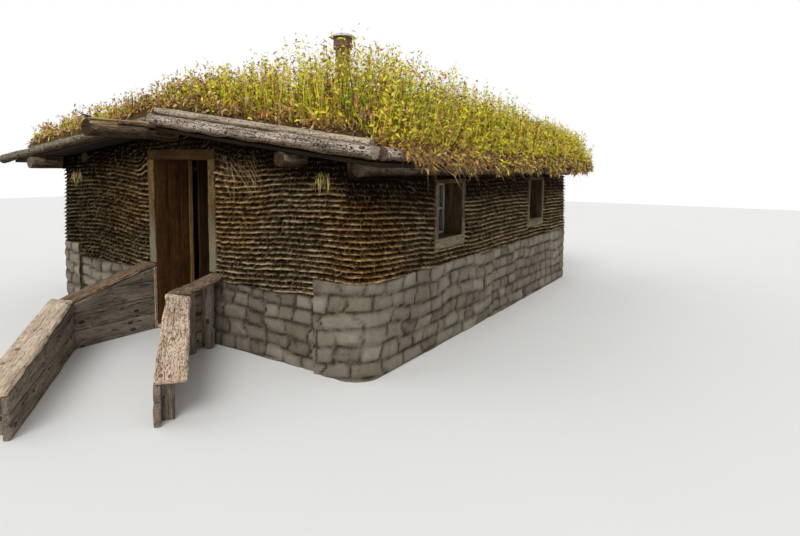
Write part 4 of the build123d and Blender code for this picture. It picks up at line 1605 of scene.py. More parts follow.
@dataclass
class RoofTimbers:
    """Round logs that carry the roof, and the boards on them."""

    places: Places
    ridge_height: float = 2.235
    ridge_radius: float = 0.095
    ridge_front: float = -0.97
    ridge_back: float = 6.55
    saddle: float = 0.367
    tongue: float = 0.233
    purlin_radius: float = 0.065
    purlin_fronts: Pair = (-0.03, -0.325)
    plate_radius: float = 0.075
    plate_fronts: Pair = (-0.42, 0.06)
    eave_radius: float = 0.062
    rake_line: float = 0.3
    rake_radius: float = 0.062
    rake_reaches: Pair = (3.47, 2.85)
    pole_radius: float = 0.042
    pole_ends: tuple[tuple[float, float, float], ...] = ((0.07, -0.27, 0.2034), (2.763, -0.22, 0.1684))
    board_width: float = 0.17
    board_start: float = 0.0503
    clearance: float = 0.0003

    def over_slope(self, side: Side, offset: float, y: float, lift: float) -> Array:
        """A place by its distances from the roof's planes.

        Args:
            side: The side of the house.
            offset: How far out from the ridge line it lies.
            y: Distance along the house.
            lift: Height above the roof plane, measured square to it.

        Returns:
            The place.
        """
        slope = self.places.slope(side)
        rise = lift * math.sqrt(1 + slope**2) - slope * offset
        return np.array([self.places.middle + side * offset, y, self.places.roof_plane + rise])

    def ridge(self) -> None:
        """The ridge log, its split end far out over the door."""
        middle, length = self.places.middle, self.places.wall_length
        tongue_top = self.places.roof_plane + self.places.deck_thickness + 0.045

        def under_roof(points: Array) -> Array:
            """Cut the log's top away where boards or rake logs lie on it.

            Args:
                points: The points to move.

            Returns:
                The points.
            """
            x, y, z = points[..., 0], points[..., 1], points[..., 2]
            covered = (y > -self.saddle) & (y < length + self.saddle)
            kept = (y > -self.tongue) & (y < length + self.tongue) & (np.abs(x - middle) < 0.05)
            limit = np.where(kept, tongue_top, self.places.underside(x) - 0.001)
            points[..., 2] = np.where(covered, np.minimum(z, limit), z)
            return points

        axes = Axes.of((middle, self.ridge_front, self.ridge_height), (0, 1, 0), (-1, 0, 0))
        cracks = ((20, 0.0, 0.13), (158, 0.0, 0.2), (205, 0.0, 0.12), (255, 0.1, 0.9))
        ridge = RoundLog(
            axes, self.ridge_back - self.ridge_front, self.ridge_radius - 0.004, 11, sides=40, spacing=0.045,
            lump=0.01, pit=0.004, cracks=cracks, crack_depth=0.035, trim=under_roof,
        )
        Shape.of(ridge).build("ridge_log", [Wood.RIDGE, DARK_END], "split_log", LOG_EDGE)

    def ridge_split(self) -> None:
        """Torn slabs and pale splinters on the ridge log's open end."""
        middle, z, y0 = self.places.middle, self.ridge_height, self.ridge_front
        bark, pale = Shape(), Shape()
        slab = Axes.of((middle - 0.01, y0 + 0.02, z + 0.089), (0, 1, -0.02), (-1, 0, 0.05))
        Plank(slab, 0.6, 0.15, 0.02, 21, spacing=0.03, bevel=0.007, wave=0.012, warp=-0.008).add(pale)
        flap = Axes.of((middle - 0.035, y0 - 0.005, z + 0.118), (0, 1, -0.25), (-1, 0, 0.2))
        Plank(flap, 0.17, 0.09, 0.022, 22, spacing=0.02, bevel=0.008, wave=0.012).add(bark)
        for turn, (rise, out, reach, thick) in enumerate(
            ((0.045, 0.078, 0.34, 0.02), (0.018, 0.088, 0.3, 0.016), (-0.012, 0.084, 0.22, 0.018))
        ):
            strip = Axes.of((middle + out, y0 + 0.012 * turn, z + rise), (-0.04, 1, 0.02), (0, -0.02, 1))
            Plank(strip, reach, 0.026, thick, 23 + turn, spacing=0.02, bevel=0.006, wave=0.008).add(pale)
        piece = Axes.of((middle + 0.066, y0 + 0.27, z + 0.052), (0.02, 1, -0.02), (-1, 0, 0))
        RoundLog(piece, 0.4, 0.034, 31, sides=20, spacing=0.02, lump=0.012, pit=0.004, taper=-0.1).add(bark)
        stump = Axes.of((middle + 0.055, y0 + 0.5, z + 0.075), (0.3, 1, 0), (-1, 0, 0))
        RoundLog(stump, 0.1, 0.024, 32, sides=16, spacing=0.02, lump=0.008).add(pale)
        bark.build("ridge_bark_slabs", [Wood.RIDGE, DARK_END], "split_log", crease=LOG_EDGE)
        pale.build("ridge_splinters", [Wood.SPLINTER, RAW_END], "split_log", crease=LOG_EDGE)

    def rakes(self) -> None:
        """Rake logs on the boards of both slopes, at the front and the back."""
        middle = self.places.middle
        lift = self.places.deck_thickness + self.rake_radius + self.clearance
        cracks = ((60, 0.08, 0.5), (100, 0.45, 0.97), (330, 0.2, 0.8), (20, 0.6, 0.99))
        for side, reach in zip(Side, self.rake_reaches):
            shape = Shape()
            for turn, y in enumerate((-self.rake_line, self.places.wall_length + self.rake_line)):

                def at_ridge(points: Array, side: Side = side) -> Array:
                    """Cut the log upright at the ridge line.

                    Args:
                        points: The points to move.
                        side: The side of the house.

                    Returns:
                        The points.
                    """
                    offset = (points[..., 0] - middle) * side
                    points[..., 0] = middle + side * np.maximum(offset, 0.001)
                    return points

                start = self.over_slope(side, -self.rake_radius, y, lift)
                end = self.over_slope(side, reach, y, lift)
                RoundLog.between(
                    start, end, (0, -side, 0), self.rake_radius, 41 + turn + 3 * side, sides=40 - 16 * turn,
                    spacing=0.032 + 0.05 * turn, lump=0.01, pit=0.0035, bow=0.01, cracks=cracks,
                    crack_depth=0.012, trim=at_ridge,
                ).add(shape)
            wood = Wood.RAKE if side is Side.RIGHT else Wood.MOSSY
            shape.build(f"rake_logs_{side.word}", [wood, PALE_END], "log", LOG_EDGE)

    def pole(self) -> None:
        """The thin pole that lies askew on the right rake log."""
        start, end = (self.over_slope(Side.RIGHT, *place) for place in self.pole_ends)
        pole = RoundLog.between(
            start, end, (0, -1, 0), self.pole_radius, 51, spacing=0.035, lump=0.005, pit=0.0012,
            cracks=((50, 0.1, 0.8), (85, 0.5, 0.95)), crack_depth=0.008,
        )
        Shape.of(pole).build("top_pole", [Wood.POLE, PALE_END], "log", LOG_EDGE)

    def level_logs(self) -> None:
        """Purlins, plate logs and eave logs."""
        turf = self.places.turf_span[0]
        kinds = (
            ("purlins", self.purlin_radius, self.purlin_fronts, Wood.RIDGE, DARK_END),
            ("plate_logs", self.plate_radius, self.plate_fronts, Wood.RIDGE, GREY_END),
            ("eave_logs", self.eave_radius, (turf, turf), Wood.RAKE, GREY_END),
        )
        cracks = ((40, 0.0, 0.12), (150, 0.0, 0.25), (285, 0.3, 0.9))
        for turn, (node, radius, fronts, wood, end_finish) in enumerate(kinds):
            shape = Shape()
            low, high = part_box(node)
            for side, front in zip(Side, fronts):
                edge = low[0] + radius if side is Side.LEFT else high[0] - radius
                offset = abs(edge - self.places.middle)
                lift = self.places.deck_thickness + radius if node == "eave_logs" else -radius
                lift += self.clearance * np.sign(lift)
                ends = (self.over_slope(side, offset, y, lift) for y in (front, high[1]))
                RoundLog.between(
                    *ends, (-1, 0, 0), radius, 61 + 2 * turn + int(side), sides=24, spacing=0.08, bow=0.003,
                    pit=0.0015, cracks=cracks, crack_depth=0.012,
                ).add(shape)
            shape.build(node, [wood, end_finish], "log", LOG_EDGE)

    def boards(self) -> None:
        """Roof boards, laid down the slope."""
        for side in Side:
            node = f"roof_boards_{side.word}"
            low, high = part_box(node)
            draw = np.random.default_rng(80 + side)
            thickness = self.places.deck_thickness
            reach = high[0] - self.places.middle if side is Side.RIGHT else self.places.middle - low[0]
            shape = Shape()
            y = low[1]
            turn = 0
            while y < high[1] - 0.03:
                width = min(self.board_width * draw.uniform(0.8, 1.2), high[1] - y)
                if high[1] - y - width < 0.07:
                    width = high[1] - y
                start = self.over_slope(side, self.board_start, y + width / 2, thickness / 2)
                end = self.over_slope(side, reach - 0.02 * draw.uniform(0, 1), y + width / 2, thickness / 2)
                axes = Axes.of(start, end - start, (0, -side, 0))
                Plank(
                    axes, float(np.linalg.norm(end - start)), width - 0.004, thickness - 0.002, 90 + turn,
                    spacing=0.3, bevel=0.003,
                ).add(shape)
                y += width
                turn += 1
            shape.build(node, [Wood.DECK], "roof_board", crease=BOARD_EDGE)

    def build(self) -> None:
        """Build all roof timbers."""
        self.ridge()
        self.ridge_split()
        self.rakes()
        self.pole()
        self.level_logs()
        self.boards()


@dataclass
class RoofTurf:
    """Matted thatch over the turf, draped over the eave logs at both sides."""

    places: Places
    spacing: float = 0.045
    apron: float = 0.024
    drape: tuple[Pair, ...] = (
        (-0.14, 0.235), (-0.03, 0.185), (0.05, 0.175), (0.115, 0.135), (0.15, 0.05), (0.158, -0.03),
        (0.14, -0.13),
    )
    drape_start: float = 0.04
    drape_spacing: float = 0.022
    drape_rows: int = 22

    def ground(self, x: Array, y: Array) -> Array:
        """Height of the thatch over a place.

        Args:
            x: X of each place.
            y: Y of each place.

        Returns:
            The height, one for each place.
        """
        spot = xyz(x, y, 0)
        mound = 0.035 * noise(spot, 0.55, 101) + 0.018 * noise(spot, 0.11, 103, 2)
        return self.places.turf_top(x) + mound

    def thatch(self) -> None:
        """The matted top and its shaggy edges."""
        left, right = self.places.turf_reach
        front, back = self.places.turf_span
        x = np.linspace(left, right, round((right - left) / self.spacing) + 1)
        y = np.linspace(front, back, round((back - front) / self.spacing) + 1)
        drops = np.array([0.24, 0.17, 0.1, 0.04])
        grow = np.array([0.3, 0.8, 1.0, 0.6]) * self.apron
        x_all = np.concatenate([left - grow, x, (right + grow)[::-1]])
        y_all = np.concatenate([front - grow, y, (back + grow)[::-1]])
        fall_x = np.concatenate([drops, 0 * x, drops[::-1]])
        fall_y = np.concatenate([drops, 0 * y, drops[::-1]])
        px, py = np.meshgrid(x_all, y_all)
        fall = np.maximum(fall_x[None, :], fall_y[:, None])
        top = self.ground(np.clip(px, left, right), np.clip(py, front, back))
        low = self.places.deck_top(np.clip(px, left, right)) - 0.004
        z = np.where(fall > 0, np.maximum(top - fall, low + (0.24 - fall) * 0.35), top)
        spot = xyz(px, py, z)
        rough = noise(spot, (0.05, 0.05, 0.05), 107, 2)
        outward = xyz((px > right) * 1.0 - (px < left), (py > back) * 1.0 - (py < front), 0)
        points = spot + outward * (0.018 * rough)[..., None]
        points[..., 2] += 0.006 * rough * (fall == 0)
        inside_x = (x_all[1:] > left) & (x_all[:-1] < right)
        inside_y = (y_all[1:] > front) & (y_all[:-1] < back)
        keep = inside_x[None, :] | inside_y[:, None]
        gap = np.hypot(px - self.places.pipe[0], py - self.places.pipe[1]) < 0.12
        keep &= ~(gap[:-1, :-1] & gap[1:, 1:])
        shape = Shape()
        shape.sheet(points, points, 0.5 + 0.5 * rough, keep=keep)
        shape.build("roof_thatch", [THATCH], "turf")

    def drape_points(self, side: Side, y: Array, share: Array) -> Array:
        """Places on the mat that hangs over one eave.

        Args:
            side: The side of the house.
            y: Distance along the house.
            share: Share of the way down the mat, from 0 on the turf to 1 at its ragged hem.

        Returns:
            The places, one for each pair of values.
        """
        path = np.array(self.drape)
        marks = distances(path)
        spot = xyz(0 * y + float(side), y, 0)
        hem = 0.86 + 0.16 * noise(spot, 0.3, 111) + 0.12 * noise(spot, 0.07, 113)
        hem *= 0.72 + 0.28 * ease((y - self.drape_start) / 0.5)
        down = share * marks[-1] * np.clip(hem, 0.4, 1.0)
        out, rise = (np.interp(down, marks, path[:, axis]) for axis in (0, 1))
        edge = self.places.turf_reach[0 if side is Side.LEFT else 1]
        points = xyz(edge + side * out, y, float(self.places.deck_top(edge)) + rise)
        rough = 0.018 * noise(points, 0.1, 115, 2) + 0.008 * noise(points, 0.03, 117)
        points[..., 0] += side * rough * ease(share * 4)
        points[..., 2] += 0.6 * rough * ease(share * 4)
        return points

    def drapes(self) -> None:
        """The mats of roots over both eaves."""
        back = self.places.turf_span[1]
        rows = np.linspace(self.drape_start, back, round((back - self.drape_start) / self.drape_spacing))
        y, share = np.meshgrid(rows, np.linspace(0, 1, self.drape_rows), indexing="ij")
        shape = Shape()
        for side in Side:
            points = self.drape_points(side, y, share)
            shape.sheet(points, points, 0.5)
        shape.build("eave_mats", [EARTH], "turf")

    def build(self) -> None:
        """Build the thatch, the mats and the growth."""
        self.thatch()
        self.drapes()
        RoofGrowth(self).build()


@dataclass
class RoofGrowth:
    """Weeds, grass and dry stems that stand in the roof's turf."""

    turf: RoofTurf
    stems: int = 7700
    leaves: int = 18
    grass: int = 11000
    litter: int = 13000
    dead_leaves: int = 9000
    eave_leaves: int = 8600
    spans_x: tuple[float, ...] = (-3.0, -0.35, 0.34, 0.95, 1.36, 1.74, 2.7)
    heights: tuple[float, ...] = (0.23, 0.31, 0.4, 0.49, 0.6, 0.74, 0.75)
    spans_y: tuple[float, ...] = (-0.2, 0.9, 1.5, 2.3, 3.3, 4.6, 6.3)
    shares_y: tuple[float, ...] = (1.0, 1.0, 0.97, 0.88, 0.78, 0.68, 0.58)
    shades: tuple[float, ...] = (0.14, 0.28, 0.42, 0.58, 0.7, 0.82, 0.92, 0.99)
    left_mix: tuple[float, ...] = (0.15, 0.17, 0.24, 0.07, 0.02, 0.18, 0.11, 0.06)
    right_mix: tuple[float, ...] = (0.1, 0.33, 0.25, 0.09, 0.03, 0.11, 0.04, 0.05)
    zone_ends: Pair = (0.9, 2.9)
    rusty: tuple[float, ...] = (0.14, 0.82, 0.88, 0.92)
    seeds: tuple[float, ...] = (0.84, 0.89, 0.92, 0.95, 1.0)
    dry: tuple[float, ...] = (0.02, 0.1, 0.13, 0.9, 0.84, 0.95)
    dead_tones: tuple[float, ...] = (0.03, 0.12, 0.2, 0.28, 0.82, 0.9)
    dead_mix: tuple[float, ...] = (0.2, 0.24, 0.14, 0.08, 0.2, 0.14)
    brown_tones: tuple[float, ...] = (0.03, 0.12, 0.28, 0.84, 0.92)
    brown_mix: tuple[float, ...] = (0.2, 0.32, 0.1, 0.2, 0.18)
    strand_tones: tuple[float, ...] = (0.02, 0.08, 0.14, 0.84, 0.92, 1.0)
    strand_mix: tuple[float, ...] = (0.34, 0.22, 0.08, 0.08, 0.14, 0.14)
    edge_strands: int = 1500
    trailing_roots: int = 14

    def height(self, x: Array, y: Array) -> Array:
        """How tall the growth stands at a place.

        Args:
            x: X of each place.
            y: Y of each place.

        Returns:
            The growth's height, one for each place.
        """
        spot = xyz(x, y, 0)
        slope = ease((x - self.turf.places.middle) / 1.0)
        falling = 1 - slope * (1 - np.interp(y, self.spans_y, self.shares_y))
        lumps = 1 + 0.13 * noise(spot, 0.6, 131) + 0.09 * noise(spot, 0.2, 132)
        return np.interp(x, self.spans_x, self.heights) * falling * lumps

    def scatter(self, draw: Draws, count: int, edge: float) -> tuple[Array, Array]:
        """Places on the roof, closest together near the front and the right eave.

        Args:
            draw: Source of the draws.
            count: Number of places.
            edge: How far past the turf's edges some of them lie.

        Returns:
            Their X and Y.
        """
        left, right = self.turf.places.turf_reach
        front, back = self.turf.places.turf_span
        trial = 9 * count
        x = draw.uniform(left - edge, right + edge, trial)
        y = draw.uniform(front + 0.01, back, trial)
        by_front = np.exp(-(y - front) / 0.45) * (0.45 + 0.55 * ease((x + 0.9) / 1.2))
        near = np.maximum(by_front, np.exp(-np.maximum(right - x, 0) / 0.45))
        clump = 0.7 + 0.5 * noise(xyz(x, y, 0), 0.13, 133, 2)
        wanted = (0.16 + 0.84 * np.clip(near, 0, 1)) * clump
        wanted *= 0.3 + 0.7 * ease((np.hypot((x - 0.8) * 1.2, (y - 1.5) * 0.8) - 0.1) / 0.8)
        pipe_x, pipe_y = self.turf.places.pipe
        wanted *= np.hypot(x - pipe_x, y - pipe_y) > 0.16
        chosen = np.nonzero(draw.uniform(0, 1, trial) < wanted)[0][:count]
        return x[chosen], y[chosen]

    def tones(self, draw: Draws, x: Array, y: Array, mixed: float) -> Array:
        """Shades in drifts of one colour.

        Args:
            draw: Source of the draws.
            x: Distance across the roof.
            y: Distance along it.
            mixed: Share of the shades that are picked at random.

        Returns:
            A shade for each place.
        """
        share = ease((x + 0.1) / 1.1)[:, None]
        marks = np.cumsum(np.array(self.left_mix) * (1 - share) + np.array(self.right_mix) * share, axis=1)
        drift = 0.5 + 0.85 * noise(xyz(x, y, 0 * x + 3.3), 0.35, 137, 2)
        loose = draw.uniform(0, 1, len(x))
        level = np.where(draw.uniform(0, 1, len(x)) < mixed, loose, drift + draw.normal(0, 0.08, len(x)))
        kind = (np.clip(level, 0, 0.999)[:, None] * marks[:, -1:] > marks).sum(axis=1)
        return np.clip(np.array(self.shades)[kind] + draw.normal(0, 0.02, len(x)), 0, 1)

    def weeds(self) -> None:
        """Upright stems with small leaves, in three pieces."""
        draw = np.random.default_rng(141)
        x, y = self.scatter(draw, self.stems, 0.09)
        count = len(x)
        lengths = self.height(x, y) * draw.uniform(0.62, 1.08, count)
        turn = draw.uniform(0, math.tau, count)
        side = xyz(np.cos(turn), np.sin(turn), 0)
        aims = unit(UP + side * np.abs(draw.normal(0, 0.1, count))[:, None])
        curls = side * draw.uniform(0.0, 0.16, (count, 1))
        past = np.maximum(x - self.turf.places.turf_reach[1], self.turf.places.turf_reach[0] - x)[:, None]
        sideways = np.sign(x)[:, None] * np.array([1.0, 0, 0])
        aims = unit(aims + sideways * ease(past / 0.08) * draw.uniform(0.1, 0.7, (count, 1)))
        lengths *= 1 - 0.55 * ease(past[:, 0] / 0.08)
        roots = xyz(x, y, self.turf.ground(x, y) - 0.01 - 0.3 * np.maximum(past[:, 0], 0))
        tones = self.tones(draw, x, y, 0.35)
        stalks = np.where(draw.uniform(0, 1, count) < 0.45, 0.99, tones)
        flats = xyz(np.sin(turn * 3), np.cos(turn * 3), 0)
        widths = draw.uniform(0.0045, 0.009, count)
        bare = draw.uniform(0, 1, count) < 0.05
        seedy = draw.uniform(0, 1, count) < 0.1
        zones = np.digitize(y, self.zone_ends)
        widths *= 1 + bare
        for zone, name in enumerate(("front", "middle", "back")):
            part = zones == zone
            shape = Shape()
            parts = (values[part] for values in (roots, aims, curls, lengths, widths, stalks))
            shape.blades(*parts, 2, flats[part])
            leafy = np.repeat(np.nonzero(part & ~bare)[0], self.leaves)
            total = len(leafy)
            share = (0.02 + 0.98 * draw.uniform(0, 1, total) ** 0.8)[:, None]
            spots = roots[leafy] + lengths[leafy, None] * (aims[leafy] * share + curls[leafy] * share**2)
            angle = draw.uniform(0, math.tau, total)
            ways = unit(xyz(np.cos(angle), np.sin(angle), draw.uniform(-0.5, 2.2, total)))
            sizes = draw.uniform(0.028, 0.072, total) * (1.15 - 0.4 * share[:, 0])
            own = draw.uniform(0, 1, total) < 0.55
            shades = np.where(own, tones[leafy], self.tones(draw, x[leafy], y[leafy], 0.9))
            rusty = 0.55 * ease((share[:, 0] - 0.5) / 0.3) * (1 - 0.8 * ease((x[leafy] + 0.2) / 1.3))
            shades = np.where(draw.uniform(0, 1, total) < rusty, draw.choice(self.rusty, total), shades)
            shades = np.where(seedy[leafy], draw.choice(self.seeds, total), shades)
            self.foliage(shape, draw, spots, ways, sizes, shades + draw.normal(0, 0.02, total))
            shape.build(f"leafy_weeds_{name}", [GRASS], "grass", node="roof_grass")

    def foliage(
        self, shape: Shape, draw: Draws, spots: Array, ways: Array, sizes: Array, shades: Array
    ) -> None:
        """Add kite-shaped leaves.

        Args:
            shape: The shape to add to.
            draw: Source of the draws.
            spots: Where each leaf starts.
            ways: Direction of each, one metre long.
            sizes: Length of each.
            shades: Shade of each.
        """
        count = len(spots)
        flat = unit(np.cross(ways, UP + 0.5 * draw.normal(0, 1, (count, 3))))
        half = (sizes * draw.uniform(0.12, 0.23, count))[:, None]
        middle = spots + ways * sizes[:, None] * 0.45
        droop = UP * (sizes * draw.uniform(0.0, 0.35, count))[:, None]
        tips = spots + ways * sizes[:, None] - droop
        points = np.stack([spots, middle - flat * half, tips, middle + flat * half], axis=1)
        marks = np.broadcast_to(np.array([0.3, 0.7, 1.0, 0.7]), (count, 4))
        grain = xyz(marks, points[..., 0], points[..., 2])
        start = shape.add_points(points, grain, np.clip(shades, 0, 1)[:, None])
        first = start + 4 * np.arange(count)[:, None]
        shape.add_faces(first + np.array([0, 1, 2]))
        shape.add_faces(first + np.array([0, 2, 3]))

    def blades(
        self,
        name: str,
        seed: int,
        count: int,
        share: Pair,
        width: Pair,
        lean: float,
        segments: int,
        palette: Sequence[float] | None = None,
    ) -> None:
        """One piece of grass or litter.

        Args:
            name: The piece's name.
            seed: Picks its places and shapes.
            count: Number of blades.
            share: Shortest and longest, as shares of the growth's height.
            width: Narrowest and widest.
            lean: How far they lean.
            segments: Number of parts along each blade.
            palette: Shades to pick from, or None for the drifts of colour.
        """
        draw = np.random.default_rng(seed)
        x, y = self.scatter(draw, count, 0.03 if palette else 0.0)
        total = len(x)
        lengths = draw.uniform(*share, total)
        if palette:
            lengths = draw.uniform(*share, total)
        else:
            lengths *= self.height(x, y)
        turn = draw.uniform(0, math.tau, total)
        side = xyz(np.cos(turn), np.sin(turn), 0)
        aims = unit(UP + side * np.abs(draw.normal(0, lean, total))[:, None])
        bend = draw.uniform(0.05, 0.5, total)[:, None]
        curls = side * bend - UP * bend * 0.4
        shades = self.tones(draw, x, y, 0.3)
        if palette:
            shades = np.clip(draw.choice(palette, total) + draw.normal(0, 0.03, total), 0, 1)
        flats = xyz(-np.sin(turn * 3), np.cos(turn * 3), 0)
        roots = xyz(x, y, self.turf.ground(x, y) - 0.012)
        shape = Shape()
        shape.blades(roots, aims, curls, lengths, draw.uniform(*width, total), shades, segments, flats)
        shape.build(name, [GRASS], "grass", node="roof_grass")

    def dead(self) -> None:
        """Dead leaves caught along the front edge and over the eave mats, and what hangs from them."""
        draw = np.random.default_rng(146)
        left, right = self.turf.places.turf_reach
        front, back = self.turf.places.turf_span
        shape = Shape()
        for side, count in ((Side.RIGHT, self.eave_leaves), (Side.LEFT, self.eave_leaves // 3)):
            y = self.turf.drape_start + (back - self.turf.drape_start) * draw.uniform(0, 1, count) ** 1.6
            share = np.clip(draw.beta(1.2, 1.1, count), 0.01, 0.99)
            roots = self.turf.drape_points(side, y, share)
            alive = 0.15 + 0.75 * ease((y - 0.2) / 1.6) * (1 - share)
            dead = draw.choice(self.dead_tones, count, p=self.dead_mix)
            growing = self.tones(draw, roots[:, 0], y, 0.8)
            self.fallen(shape, draw, roots, np.where(draw.uniform(0, 1, count) < alive, growing, dead))
            third = count // 3
            hung = self.turf.drape_points(side, y[:third], np.clip(draw.beta(2.4, 0.9, third), 0.02, 0.99))
            long = draw.uniform(0, 1, third) ** 3
            self.strands(shape, draw, hung, np.array([float(side), 0.0, 0.0]), 0.03 + 0.13 * long)
        count = self.dead_leaves
        x = draw.uniform(left, right + 0.05, count)
        y = front - 0.02 + 0.4 * draw.uniform(0, 1, count) ** 1.5
        pile = 0.04 + 0.15 * ease((x + 0.9) / 2.2)
        clumps = 0.7 + 0.5 * noise(xyz(x, y, 0), 0.2, 151)
        lift = pile * draw.uniform(-0.3, 1, count) * clumps
        brown = draw.choice(self.brown_tones, count, p=self.brown_mix)
        self.fallen(shape, draw, xyz(x, y, self.turf.ground(x, y) + lift), brown)
        count = self.edge_strands
        for y, way in ((front, -1.0), (back, 1.0)):
            x = draw.uniform(left, right, count)
            inward = draw.uniform(-0.02, 0.1, count)
            top = self.turf.ground(x, 0 * x + y) - draw.uniform(0, 0.09, count)
            spots = xyz(x, y - way * inward, top)
            self.strands(shape, draw, spots, np.array([0.0, way, 0.0]), draw.uniform(0.02, 0.08, count))
        deck = float(self.turf.places.deck_top(right))
        for _ in range(self.trailing_roots):
            out, y, rise = draw.uniform(0.05, 0.14), draw.uniform(0.5, 3.2), draw.uniform(0.1, 0.26)
            aim = unit(np.array([[draw.normal(0.0, 0.08), 1.0, draw.normal(0.1, 0.15)]]))
            curl = -UP[None, :] * draw.uniform(0.0, 0.25)
            reach = np.array([draw.uniform(0.35, 0.8)])
            root = np.array([[right + out, y, deck + rise]])
            width, shade = np.array([0.009]), np.array([0.14])
            shape.blades(root, aim, curl, reach, width, shade, 4, np.array([1.0, 0.0, 0.0]))
        shape.build("dead_leaves_and_roots", [GRASS], "turf")

    def fallen(self, shape: Shape, draw: Draws, spots: Array, shades: Array) -> None:
        """Add leaves that lie every way round.

        Args:
            shape: The shape to add to.
            draw: Source of the draws.
            spots: Where each leaf starts.
            shades: Shade of each.
        """
        count = len(spots)
        ways = unit(draw.normal(0, 1, (count, 3)))
        sizes = draw.uniform(0.03, 0.075, count)
        self.foliage(shape, draw, spots, ways, sizes, shades + draw.normal(0, 0.02, count))

    def strands(self, shape: Shape, draw: Draws, roots: Array, outward: Array, lengths: Array) -> None:
        """Add drooping strands.

        Args:
            shape: The shape to add to.
            draw: Source of the draws.
            roots: Where each strand starts.
            outward: Level direction out of the edge.
            lengths: Length of each.
        """
        count = len(roots)
        beside = np.cross(UP, outward)
        aims = outward * draw.uniform(0.3, 1.0, (count, 1)) + beside * draw.normal(0, 0.6, (count, 1))
        aims = unit(aims + UP * draw.normal(0.0, 0.5, (count, 1)))
        curls = -UP * draw.uniform(0.3, 1.3, (count, 1)) + beside * draw.normal(0, 0.3, (count, 1))
        tones = draw.choice(self.strand_tones, count, p=self.strand_mix)
        tones = np.clip(tones + draw.normal(0, 0.03, count), 0, 1)
        shape.blades(roots, aims, curls, lengths, draw.uniform(0.003, 0.0075, count), tones, 2, outward)

    def build(self) -> None:
        """Build the growth, piece by piece."""
        self.weeds()
        self.blades("roof_sward", 142, self.grass, (0.15, 0.48), (0.005, 0.009), 0.3, 2)
        self.blades("dry_undergrowth", 143, self.litter, (0.05, 0.17), (0.006, 0.012), 1.1, 1, self.dry)
        self.dead()


@dataclass
class Stovepipe:
    """Sheet-metal stovepipe with a lock seam, its roof collar, and a domed cap over a hood."""

    place: Pair
    radius: float = 0.1
    collar_radius: float = 0.13
    hood_radius: float = 0.125
    hood_bottom: float = 3.46
    top: float = 3.61
    cap_radius: float = 0.17
    cap_top: float = 3.67
    wall: float = 0.004
    sides: int = 56
    joints: Pair = (2.72, 3.17)
    bead: tuple[Pair, ...] = ((-0.012, 0.0), (-0.006, 0.004), (0.0, 0.005), (0.006, 0.004), (0.012, 0.0))

    def turned(
        self, shape: Shape, profile: Sequence[Pair], finish: int, dent: float, seam: float = 0.0
    ) -> None:
        """Turn a profile round the pipe's axis.

        Args:
            shape: The shape to add to.
            profile: Radius and height of each ring, outside upwards.
            finish: Number of the finish.
            dent: Depth of dents.
            seam: How proud the lock seam stands.
        """
        angles = np.linspace(0, math.tau, self.sides, endpoint=False)
        radius, height = np.array(profile).T[..., None] * np.ones(self.sides)
        spot = xyz(radius * np.cos(angles), radius * np.sin(angles), height)
        radius = radius + dent * noise(spot, 0.11, 201) + seam * (np.abs(angles - 4.4) < 0.14)
        x, y = self.place
        points = xyz(x + radius * np.cos(angles), y + radius * np.sin(angles), height)
        shape.sheet(points, points, 0.5, finish, around=True)

    def build(self) -> None:
        """Build the pipe, the collar and the cap."""
        low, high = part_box("stovepipe")
        r, inner = self.radius, self.radius - self.wall
        outside = [(r, z) for z in np.linspace(low[2], high[2], 60)]
        for joint in self.joints:
            outside += [(r + rise, joint + step) for step, rise in self.bead]
        outside = sorted(set(outside), key=lambda pair: pair[1])
        pipe = Shape()
        self.turned(pipe, [(inner, low[2]), *outside, (inner, high[2])], 0, 0.0022, 0.0025)
        self.turned(pipe, [(inner, high[2]), (inner, low[2])], 0, 0.0)
        pipe.build("stovepipe", [PIPE], "pipe", crease=SHEET_EDGE)
        bottom, rise = (corner[2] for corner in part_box("pipe_collar"))
        c = self.collar_radius
        collar = Shape()
        foot = r + 0.002
        rim = [(c, rise - 0.02), (c - 0.004, rise - 0.006), (c - 0.014, rise)]
        self.turned(collar, [(foot, bottom), (c, bottom), *rim, (foot, rise)], 0, 0.003)
        self.turned(collar, [(foot, rise), (foot, bottom)], 0, 0.0)
        collar.build("pipe_collar", [PIPE], "pipe", crease=SHEET_EDGE)
        self.cap()

    def cap(self) -> None:
        """The hood and the dome over it."""
        h, z0, z1 = self.hood_radius, self.hood_bottom, self.top
        cap = Shape()
        hood = [(self.radius, z0 + 0.006), (self.radius, z0), (h - 0.004, z0), (h, z0 + 0.004)]
        hood += [(h, z0 + 0.03), (h + 0.004, z0 + 0.036), (h, z0 + 0.042)]
        hood += [(h, z) for z in np.linspace(z0 + 0.06, z1 - 0.03, 6)]
        hood += [(h, z1 - 0.02), (h + 0.004, z1 - 0.014), (h, z1 - 0.008), (h, z1)]
        hood += [(h - 0.006, z1), (h - 0.006, z0 + 0.006), (self.radius, z0 + 0.006)]
        self.turned(cap, hood, 0, 0.0018, 0.002)
        rim = self.cap_radius
        rise = self.cap_top - z1
        dome = [(0.01, z1 + 0.001), (rim - 0.012, z1 + 0.001), (rim - 0.004, z1)]
        dome += [(rim, z1 + 0.003), (rim, z1 + 0.008)]
        dome += [
            (rim * 0.985 * math.cos(angle), z1 + 0.01 + (rise - 0.012) * math.sin(angle))
            for angle in np.radians([0, 8, 18, 30, 44, 58, 72, 83])
        ]
        dome.append((0.01, self.cap_top - 0.001))
        self.turned(cap, dome, 1, 0.0012)
        cap.build("pipe_cap", [PIPE, ZINC], "galvanised", crease=SHEET_EDGE)


